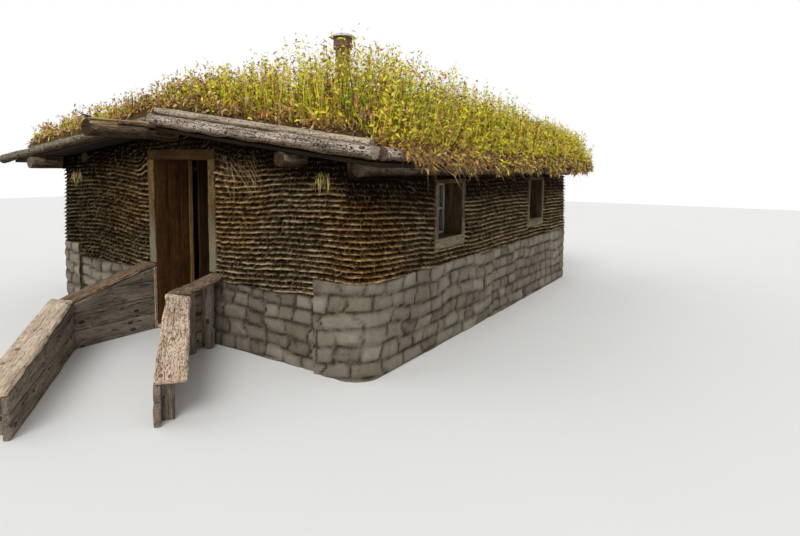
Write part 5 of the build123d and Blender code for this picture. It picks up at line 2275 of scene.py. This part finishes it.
def studs(shape: Shape, spots: Sequence[Sequence[float]], out: Sequence[float], radius: float) -> None:
    """Add nail or bolt heads.

    Args:
        shape: The shape to add to.
        spots: Middle of each head, on the surface it is driven into.
        out: Direction out of that surface.
        radius: Radius of a head.
    """
    way = unit(np.asarray(out, float))
    across = unit(np.cross(way, UP if abs(way[2]) < 0.9 else np.array([1.0, 0, 0])))
    other = np.cross(way, across)
    angles = np.linspace(0, math.tau, 8, endpoint=False)
    ring = np.cos(angles)[:, None] * across + np.sin(angles)[:, None] * other
    for spot in np.atleast_2d(spots):
        rows = np.stack([
            spot + ring * radius - way * 0.001,
            spot + ring * radius + way * 0.2 * radius,
            spot + ring * 0.55 * radius + way * 0.48 * radius,
            spot + ring * 0.12 * radius + way * 0.55 * radius,
        ])
        start = shape.sheet(rows, rows, 0.5, around=True)
        shape.add_faces(start + 24 + np.arange(8)[None, :])


@dataclass
class Doorway:
    """Board lining, casings and sill of the doorway."""

    half: float = 0.467
    lining: float = 0.04
    joints: tuple[float, ...] = (0.0, 0.13, 0.17, 0.29, 0.33, 0.44, 0.5)
    set_backs: tuple[float, ...] = (0.0, 0.006, 0.0, 0.006, 0.0, 0.0)
    head_joints: tuple[float, ...] = (0.0, 0.16, 0.33, 0.5)
    sill_boards: int = 3
    gap: float = 0.001
    wide_gap: float = 0.0015
    nail: float = 0.005
    nail_heights: Pair = (1.32, 1.86)
    nail_steps: Pair = (-0.03, 0.028)
    head_nails: tuple[float, ...] = (-0.52, -0.49, 0.49, 0.52)

    def linings(self) -> None:
        """Upright planks down both sides, the last one a pale jamb post, and the planks overhead."""
        z = spans("door_linings")[Axis.Z]
        shape = Shape()
        last = len(self.set_backs) - 1
        for side in Side:
            for turn, y in enumerate(between_joints(self.joints, self.wide_gap)):
                x = (side * (self.half + self.set_backs[turn]), side * (self.half + self.lining))
                seed = 410 + turn + 10 * side
                Plank.fill((x, y, z), Axis.Z, Axis.X, seed, finish=int(turn == last), spacing=0.06).add(shape)
        woods = [Wood.REVEAL, Wood.JAMB]
        shape.build("door_lining_planks", woods, "reveal_board", BOARD_EDGE, node="door_linings")
        x, _, z = spans("door_lining_head")
        head = Shape()
        for turn, y in enumerate(between_joints(self.head_joints, self.gap)):
            Plank.fill((x, y, z), Axis.X, Axis.Z, 430 + turn).add(head)
        head.build("door_lining_head", [Wood.REVEAL], "reveal_board", BOARD_EDGE)

    def casings(self) -> None:
        """Worn casing boards beside and over the doorway, with their nails."""
        x, y, z = spans("door_casings")
        worn = {"spacing": 0.035, "bevel": 0.006, "wave": 0.006}
        shape, nails = Shape(), Shape()
        for side in Side:
            across = (x[0], -self.half) if side is Side.LEFT else (self.half, x[1])
            Plank.fill((across, y, z), Axis.Z, Axis.Y, 440 + side, warp=0.003, **worn).add(shape)
            heights = (z[0] + 0.12, *self.nail_heights)
            spots = [(sum(across) / 2 + step, y[0], height) for height in heights for step in self.nail_steps]
            studs(nails, spots, FRONTWARD, self.nail)
        shape.build("door_casings", [Wood.CASING], "casing_board", BOARD_EDGE)
        box = spans("door_casing_head")
        head = Shape.of(Plank.fill(box, Axis.X, Axis.Y, 446, **worn))
        # the head board takes the darker copy of the casing, painted roof shade
        head.build("door_casing_head", [Wood.CASING_HEAD], "casing_board", BOARD_EDGE)
        spots = [(across, box[Axis.Y][0], sum(box[Axis.Z]) / 2) for across in self.head_nails]
        studs(nails, spots, FRONTWARD, self.nail)
        nails.build("casing_nails", [IRON], "iron")

    def sill(self) -> None:
        """Worn sill of three planks."""
        x, y, z = spans("door_sill")
        shape = Shape()
        for turn, board in enumerate(between_joints(np.linspace(*y, self.sill_boards + 1), self.gap)):
            Plank.fill((x, board, z), Axis.X, Axis.Z, 450 + turn, bevel=0.008).add(shape)
        shape.build("door_sill", [Wood.CAP], "cap_board", BOARD_EDGE)

    def build(self) -> None:
        """Build the whole doorway."""
        self.linings()
        self.casings()
        self.sill()


@dataclass
class PlankDoor:
    """Ledged plank door, standing open into the room."""

    boards: int = 5
    gap: float = 0.0015
    ledge_heights: tuple[float, ...] = (0.33, 1.08, 1.76)
    ledge_height: float = 0.12
    ledge_inset: float = 0.06
    face: Pair = (-0.478, -0.443)
    ledge_face: float = -0.503
    nail: float = 0.005
    nail_steps: tuple[Pair, ...] = ((-0.04, 0.03), (0.04, -0.03))
    strap_heights: Pair = (0.42, 1.85)
    strap_face: float = 0.006
    strap_bolt: float = 0.008

    def build(self) -> None:
        """Build the leaf, its ledges and the nails through them."""
        _, y, z = spans("door_leaf")
        shape, nails = Shape(), Shape()
        for turn, board in enumerate(between_joints(np.linspace(*y, self.boards + 1), self.gap)):
            Plank.fill((self.face, board, z), Axis.Z, Axis.X, 460 + turn).add(shape)
            middle = sum(board) / 2
            for height in self.ledge_heights:
                spots = [(self.face[1], middle + step, height + lift) for step, lift in self.nail_steps]
                studs(nails, spots, (1, 0, 0), self.nail)
        x = (self.ledge_face, self.face[0])
        inset = (y[0] + self.ledge_inset, y[1] - self.ledge_inset)
        half = self.ledge_height / 2
        for turn, height in enumerate(self.ledge_heights):
            box = (x, inset, (height - half, height + half))
            Plank.fill(box, Axis.Y, Axis.X, 470 + turn, bevel=0.006).add(shape)
        shape.build("door_leaf", [Wood.DOOR], "door_board", BOARD_EDGE, body="door")
        straps = spans("door_straps")[Axis.Y]
        for height in self.strap_heights:
            along = np.linspace(straps[0] + 0.12, straps[1] - 0.05, 4)
            studs(nails, xyz(self.ledge_face - self.strap_face, along, height), (-1, 0, 0), self.strap_bolt)
        nails.build("door_nails", [IRON], "iron", body="door")


@dataclass
class SideWindows:
    """Windows deep in the side walls: casings, plank reveals and four-pane sashes."""

    places: Places
    half_width: float = 0.28
    bottom: float = 1.135
    top: float = 1.72
    board: float = 0.03
    casing_side: float = 0.07
    casing_head: float = 0.045
    sill: float = 0.03
    apron: float = 0.11
    casing_thickness: float = 0.025
    sash_depth: float = 0.205
    sash_thickness: float = 0.04
    bar: float = 0.03
    muntin: float = 0.02
    muntin_inset: float = 0.008
    gap: float = 0.001
    reveal_joints: tuple[float, ...] = (0.0, 0.1, 0.26, 0.38, 0.5)
    nail: float = 0.0045
    nail_inset: float = 0.035

    def span(self, side: Side, start: float, end: float) -> Pair:
        """X of two depths behind a wall's outer face, lowest first."""
        face = self.places.middle + side * self.places.wall_outer
        return tuple(sorted((face - side * start, face - side * end)))

    def casing(self, side: Side, y: float, seed: int, shape: Shape, nails: Shape) -> None:
        """Casing boards, sill and apron of one window.

        Args:
            side: The side of the house.
            y: The window's middle.
            seed: Picks the boards' grain.
            shape: The shape to add the boards to.
            nails: The shape to add the nails to.
        """
        proud = self.span(side, -self.casing_thickness, 0.0)
        outer = self.half_width + self.casing_side
        for way in (-1, 1):
            box = (proud, (y + way * self.half_width, y + way * outer), (self.bottom, self.top))
            options = {"finish": 1, "spacing": 0.03, "bevel": 0.005, "wave": 0.005}
            Plank.fill(box, Axis.Z, Axis.X, seed + 2 + way, **options).add(shape)
        sill = self.bottom - self.sill
        for turn, (z, face, finish, bevel, wave) in enumerate((
            ((self.top, self.top + self.casing_head), Axis.X, 0, 0.005, 0.005),
            ((self.bottom - self.apron, sill), Axis.X, 2, 0.006, 0.006),
            ((sill, self.bottom), Axis.Z, 2, 0.006, 0.004),
        )):
            box = (proud, (y - outer, y + outer), z)
            options = {"finish": finish, "spacing": 0.03, "bevel": bevel, "wave": wave}
            Plank.fill(box, Axis.Y, face, seed + 5 + turn, **options).add(shape)
        x = proud[1] if side is Side.RIGHT else proud[0]
        reach = self.half_width + self.nail_inset
        heights = (self.bottom - 0.07, 1.3, 1.6, self.top + 0.02)
        spots = [(x, y + way * reach, z) for way in (-1, 1) for z in heights]
        studs(nails, spots, (float(side), 0, 0), self.nail)

    def reveal(self, side: Side, y: float, seed: int, shape: Shape) -> None:
        """Planks that line one window's hole.

        Args:
            side: The side of the house.
            y: The window's middle.
            seed: Picks the planks' grain.
            shape: The shape to add them to.
        """
        w, outer = self.half_width, self.half_width + self.board
        for start, end in between_joints(self.reveal_joints, self.gap):
            x = self.span(side, start, end)
            own = seed + 9 + round(20 * start)
            for way in (-1, 1):
                box = (x, (y + way * w, y + way * outer), (self.bottom, self.top))
                Plank.fill(box, Axis.Z, Axis.Y, own + way).add(shape)
            for level in (self.bottom - self.board, self.top):
                box = (x, (y - w - self.board, y + w + self.board), (level, level + self.board))
                Plank.fill(box, Axis.Y, Axis.Z, own + 3).add(shape)

    def sash(self, side: Side, y: float, seed: int, shape: Shape) -> None:
        """Sash bars of one window.

        Args:
            side: The side of the house.
            y: The window's middle.
            seed: Picks the bars' grain.
            shape: The shape to add them to.
        """
        start, end = self.sash_depth, self.sash_depth + self.sash_thickness
        x = self.span(side, start, end)
        slim = self.span(side, start + self.muntin_inset, end - self.muntin_inset)
        w, bar, half = self.half_width, self.bar, self.muntin / 2
        across = (y - w + bar, y + w - bar)
        centre = (self.bottom + self.top) / 2
        height = (self.bottom, self.top)
        boards = [((x, (y + way * w, y + way * (w - bar)), height), Axis.Z, way, 0.002) for way in (-1, 1)]
        boards += [((x, across, (z, z + bar)), Axis.Y, 3, 0.002) for z in (self.bottom, self.top - bar)]
        upright = (slim, (y - half, y + half), (self.bottom + bar, self.top - bar))
        level = (slim, across, (centre - half, centre + half))
        boards += [(upright, Axis.Z, 5, 0.0015), (level, Axis.Y, 6, 0.0015)]
        for box, along, turn, wave in boards:
            Plank.fill(box, along, Axis.X, seed + turn, wave=wave).add(shape)

    def build(self) -> None:
        """Build the windows of both sides."""
        nails, sashes = Shape(), Shape()
        for side in Side:
            shape = Shape()
            for turn, y in enumerate(self.places.window_middles):
                seed = 500 + 40 * turn + 7 * side
                self.casing(side, y, seed, shape, nails)
                self.reveal(side, y, seed, shape)
                self.sash(side, y, 100 + seed, sashes)
            finishes = [Wood.WINDOW, Wood.WINDOW_EDGE, Wood.WINDOW_SILL]
            shape.build(f"window_frames_{side.word}", finishes, "window_board", BOARD_EDGE)
        sashes.build("window_sashes", [Wood.SASH], "sash", BOARD_EDGE)
        nails.build("window_nails", [IRON], "iron")


@dataclass
class WingRun:
    """One straight run of the entry: where it starts and leads, its cap line and its mitred ends."""

    side: Side
    start: Array
    along: Array
    length: float
    heights: Pair
    slants: Pair
    clip: float

    @property
    def outward(self) -> Array:
        """Level direction away from the entry's path."""
        return self.side * np.cross(UP, self.along)

    @property
    def rise(self) -> float:
        """Climb of the cap line for each metre along."""
        return (self.heights[1] - self.heights[0]) / self.length

    def place(self, run: Array, out: Array, height: Array) -> Array:
        """World places of points on the run, slanted to meet the mitred ends.

        Args:
            run: Distances along the run.
            out: Distances outward.
            height: Heights.

        Returns:
            The places.
        """
        low = self.slants[0] * out
        slanted = low + run / self.length * (self.length + self.slants[1] * out - low)
        return self.start + xyz(slanted, out, height) @ np.array([self.along, self.outward, UP])

    def read(self, points: Array) -> tuple[Array, Array, Array]:
        """Distances along, outward and up of world places."""
        apart = points - self.start
        return apart @ self.along, apart @ self.outward, apart[..., 2]

    def under_cap(self, low: float, high: float, thickness: float) -> Trim:
        """A cut that squeezes a board under the sloping cap.

        Args:
            low: Height of the board's lower edge.
            high: Height of its upper edge.
            thickness: Thickness of the cap.

        Returns:
            The cut.
        """

        def cut(points: Array) -> Array:
            """Squeeze the points and slant the ends.

            Args:
                points: The points to move.

            Returns:
                The points.
            """
            run, out, height = self.read(points)
            limit = self.heights[0] + self.rise * (run + self.slants[0] * out) - thickness - 0.001
            top = np.clip(limit, low + 0.004, high)
            return self.place(run, out, low + (height - low) * (top - low) / (high - low))

        return cut

    def on_line(self, width: float) -> Trim:
        """A cut that slants a cap's ends and clips its far outer corner.

        Args:
            width: Width of the cap.

        Returns:
            The cut.
        """

        def cut(points: Array) -> Array:
            """Move the points along the cap's own slope.

            Args:
                points: The points to move.

            Returns:
                The points.
            """
            run, out, height = self.read(points)
            corner = np.clip(run - (self.length - self.clip), 0, self.clip)
            worn = self.clip - np.sqrt(np.maximum(self.clip**2 - corner**2, 0))
            out = np.minimum(out, width - worn)
            moved = self.place(run, out, height)
            moved[..., 2] += self.rise * (self.read(moved)[0] - run)
            return moved

        return cut


@dataclass
class Entry:
    """Low board walls that flare out from the doorway, with worn cap boards."""

    turn: float = math.radians(52)
    board: float = 0.05
    post: float = 0.09
    post_inset: float = 0.11
    cap_width: float = 0.24
    cap_thickness: float = 0.042
    wall_height: float = 0.77
    inner: Pair = (-0.483, 0.487)
    near: Pair = (0.945, 0.56)
    far: Pair = (1.98, 1.55)
    bend_height: Pair = (0.512, 0.65)
    end_height: Pair = (0.345, 0.35)
    clips: Pair = (0.08, 0.012)
    plank: float = 0.188
    nail: float = 0.0065
    heads: tuple[Pair, ...] = ((-0.02, 0.25), (0.02, 0.7))

    def run(self, side: Side, part: str) -> WingRun:
        """The near or the far run of a side.

        Args:
            side: The side.
            part: Near or far.

        Returns:
            The run.
        """
        inner, near, far, bend, end, clip = (
            pair[side > 0]
            for pair in (self.inner, self.near, self.far, self.bend_height, self.end_height, self.clips)
        )
        mitre = -side * math.tan(self.turn / 2)
        if part == "near":
            start = np.array([inner, 0.0, 0.0])
            return WingRun(side, start, FRONTWARD, near, (self.wall_height, bend), (0.0, mitre), 0.0)
        way = np.array([math.sin(self.turn), -math.cos(self.turn), 0.0])
        return WingRun(side, np.array([inner, -near, 0.0]), way, far, (bend, end), (-mitre, 0.0), clip)

    def boards(self, run: WingRun, node: str, nails: Shape) -> None:
        """Planks on edge under the cap, their posts and nails.

        Args:
            run: The run that they stand on.
            node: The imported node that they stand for.
            nails: The shape to add the nails to.
        """
        shape = Shape()
        seed = 700 + 17 * len(node) + round(100 * run.length)
        low = 0.0
        turn = 0
        while low < max(run.heights) - self.cap_thickness - 0.03:
            end = min(run.length, (run.heights[0] - self.cap_thickness - low - 0.02) / -run.rise)
            high = low + self.plank - 0.004
            origin = run.start + run.outward * self.board / 2 + UP * (low + high) / 2
            thickness = self.board - 0.004 * (turn % 2)
            Plank(
                Axes.of(origin, run.along, UP), end, high - low, thickness, seed + turn, spacing=0.05,
                bevel=0.007, wave=0.008, warp=0.004, trim=run.under_cap(low, high, self.cap_thickness),
            ).add(shape)
            for spot in (self.post_inset + self.post / 2, run.length - self.post_inset - self.post / 2):
                if spot < end - 0.03:
                    for step, share in self.heads:
                        head = run.place(spot + step, np.array(0.001), low + share * self.plank)
                        studs(nails, head, -run.outward, self.nail)
            low += self.plank
            turn += 1
        height, half = max(run.heights), self.post / 2
        trim = run.under_cap(0.0, height, self.cap_thickness)
        for turn, spot in enumerate((self.post_inset, run.length - self.post_inset - self.post)):
            foot = run.start + run.along * (spot + half) + run.outward * (self.board + half)
            axes = Axes.of(foot, UP, run.along)
            own = seed + 20 + turn
            Plank(axes, height, self.post, self.post - 0.002, own, bevel=0.006, trim=trim).add(shape)
        if run.slants[0] == 0.0:
            axes = Axes.of(run.start + run.along * 0.03 - run.outward * 0.006, UP, run.along)
            Plank(axes, run.heights[0] - 0.05, 0.034, 0.012, seed + 30, finish=1, bevel=0.003).add(shape)
        shape.build(node, [Wood.ENTRY, Wood.CAP], "entry_board", crease=BOARD_EDGE)

    def cap(self, run: WingRun, node: str, wood: Wood) -> None:
        """The worn cap board, its inner edge eaten away in places.

        Args:
            run: The run that it lies on.
            node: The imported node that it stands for.
            wood: Its finish.
        """
        slope = run.along + UP * run.rise
        origin = run.start + run.outward * self.cap_width / 2 + UP * (run.heights[0] - self.cap_thickness / 2)
        length = run.length * float(np.linalg.norm(slope))
        board = Plank(
            Axes.of(origin, slope, run.outward), length, self.cap_width - 0.004, self.cap_thickness - 0.002,
            760 + round(100 * run.length), spacing=0.03, bevel=0.014, wave=0.01,
            trim=run.on_line(self.cap_width),
        )
        Shape.of(board).build(node, [wood], "cap_board", BOARD_EDGE)

    def build(self) -> None:
        """Build both runs of both sides."""
        nails = Shape()
        for side, far_wood in zip(Side, (Wood.CAP_SMOOTH, Wood.CAP)):
            for part, wood in (("near", Wood.CAP_BROWN), ("far", far_wood)):
                run = self.run(side, part)
                self.boards(run, f"entry_{side.word}_{part}_boards", nails)
                self.cap(run, f"entry_{side.word}_{part}_cap", wood)
        nails.build("entry_nails", [IRON], "iron")


def dress_node(name: str, finish: Finish) -> None:
    """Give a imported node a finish.

    Args:
        name: The node's name.
        finish: The finish.
    """
    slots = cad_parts[name].data.materials
    slots.clear()
    slots.append(finish.material)


def dress_nodes() -> None:
    """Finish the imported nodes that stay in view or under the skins."""
    skinned = (
        "front_wall_left", "front_wall_right", "front_wall_over_door", "left_wall", "right_wall", "back_wall",
        "roof_turf_left", "roof_turf_right", "footing_sides", "footing_back", "footing_front",
    )
    for name in skinned:
        dress_node(name, EARTH)
    for name in ("door_straps", "door_pintles", "door_pull"):
        dress_node(name, IRON)
    dress_node("window_glass", GLASS)


@dataclass
class Studio:
    """Camera, pale floor, soft lamps and white surroundings."""

    lens: float = 24.57
    shift: Pair = (0.0167, -0.0628)
    place: tuple[float, float, float] = (5.164, -3.732, 1.867)
    right: tuple[float, float, float] = (0.833, 0.553, 0.009)
    back: tuple[float, float, float] = (0.55, -0.83, 0.089)
    floor_size: float = 60.0
    ambient: float = 0.62

    def camera(self) -> None:
        """Set the camera at the photograph's angle."""
        data = bpy.data.cameras.new("camera")
        data.lens = self.lens
        data.sensor_width = 36.0
        data.sensor_fit = "HORIZONTAL"
        data.shift_x, data.shift_y = self.shift
        data.clip_end = 200.0
        back = unit(np.array(self.back))
        right = np.array(self.right)
        right = unit(right - back * (right @ back))
        up = np.cross(back, right)
        columns = np.column_stack([right, up, back])
        camera = bpy.data.objects.new("camera", data)
        camera.matrix_world = Matrix.Translation(self.place) @ Matrix(columns.tolist()).to_4x4()
        bpy.context.collection.objects.link(camera)
        bpy.context.scene.camera = camera

    def floor(self) -> None:
        """A pale floor that keeps the house's shadow."""
        half = self.floor_size / 2
        mesh = bpy.data.meshes.new("studio_floor")
        corners = [(-half, -half, 0), (half, -half, 0), (half, half, 0), (-half, half, 0)]
        mesh.from_pydata(corners, [], [(0, 1, 2, 3)])
        mesh.materials.append(FloorFinish().material)
        floor = bpy.data.objects.new("studio_floor", mesh)
        bpy.context.collection.objects.link(floor)

    def world(self) -> None:
        """Even light from all round, and plain white for what the camera sees or a surface mirrors."""
        world = bpy.data.worlds.new("studio")
        bpy.context.scene.world = world
        world.use_nodes = True
        nodes, links = world.node_tree.nodes, world.node_tree.links
        path = nodes.new("ShaderNodeLightPath")
        seen = path.outputs["Is Camera Ray"]
        for name in ("Is Glossy Ray", "Is Transmission Ray"):
            total = nodes.new("ShaderNodeMath")
            total.operation = "MAXIMUM"
            links.new(seen, total.inputs[0])
            links.new(path.outputs[name], total.inputs[1])
            seen = total.outputs["Value"]
        strength = nodes.new("ShaderNodeMapRange")
        strength.inputs["To Min"].default_value = self.ambient
        strength.inputs["To Max"].default_value = 1.0
        links.new(seen, strength.inputs["Value"])
        links.new(strength.outputs["Result"], nodes["Background"].inputs["Strength"])
        nodes["Background"].inputs["Color"].default_value = (1, 1, 1, 1)

    def lamps(self) -> None:
        """One wide soft sun from above the camera's right, and a weaker one from the left."""
        for name, energy, turn, spread in (
            ("key", 1.5, (48.0, 0.0, 20.0), 35.0),
            ("fill", 0.5, (55.0, 0.0, -65.0), 60.0),
        ):
            data = bpy.data.lights.new(name, "SUN")
            data.energy = energy
            data.angle = math.radians(spread)
            lamp = bpy.data.objects.new(name, data)
            lamp.rotation_euler = [math.radians(angle) for angle in turn]
            bpy.context.collection.objects.link(lamp)

    def build(self) -> None:
        """Set the whole studio up."""
        self.camera()
        self.floor()
        self.world()
        self.lamps()
        bpy.context.scene.view_settings.view_transform = "Standard"


def main() -> None:
    """Build the studio and the house, piece by piece."""
    logging.basicConfig(level=logging.INFO, format="%(message)s")
    places = Places.read()
    Studio().build()
    dress_nodes()
    for part in (
        SodWalls(places), StoneFooting(places), RoofTimbers(places), RoofTurf(places), Stovepipe(places.pipe),
        Doorway(), PlankDoor(), SideWindows(places), Entry(),
    ):
        part.build()
        log.info("%s is built", type(part).__name__)


if __name__ == "__main__":
    main()
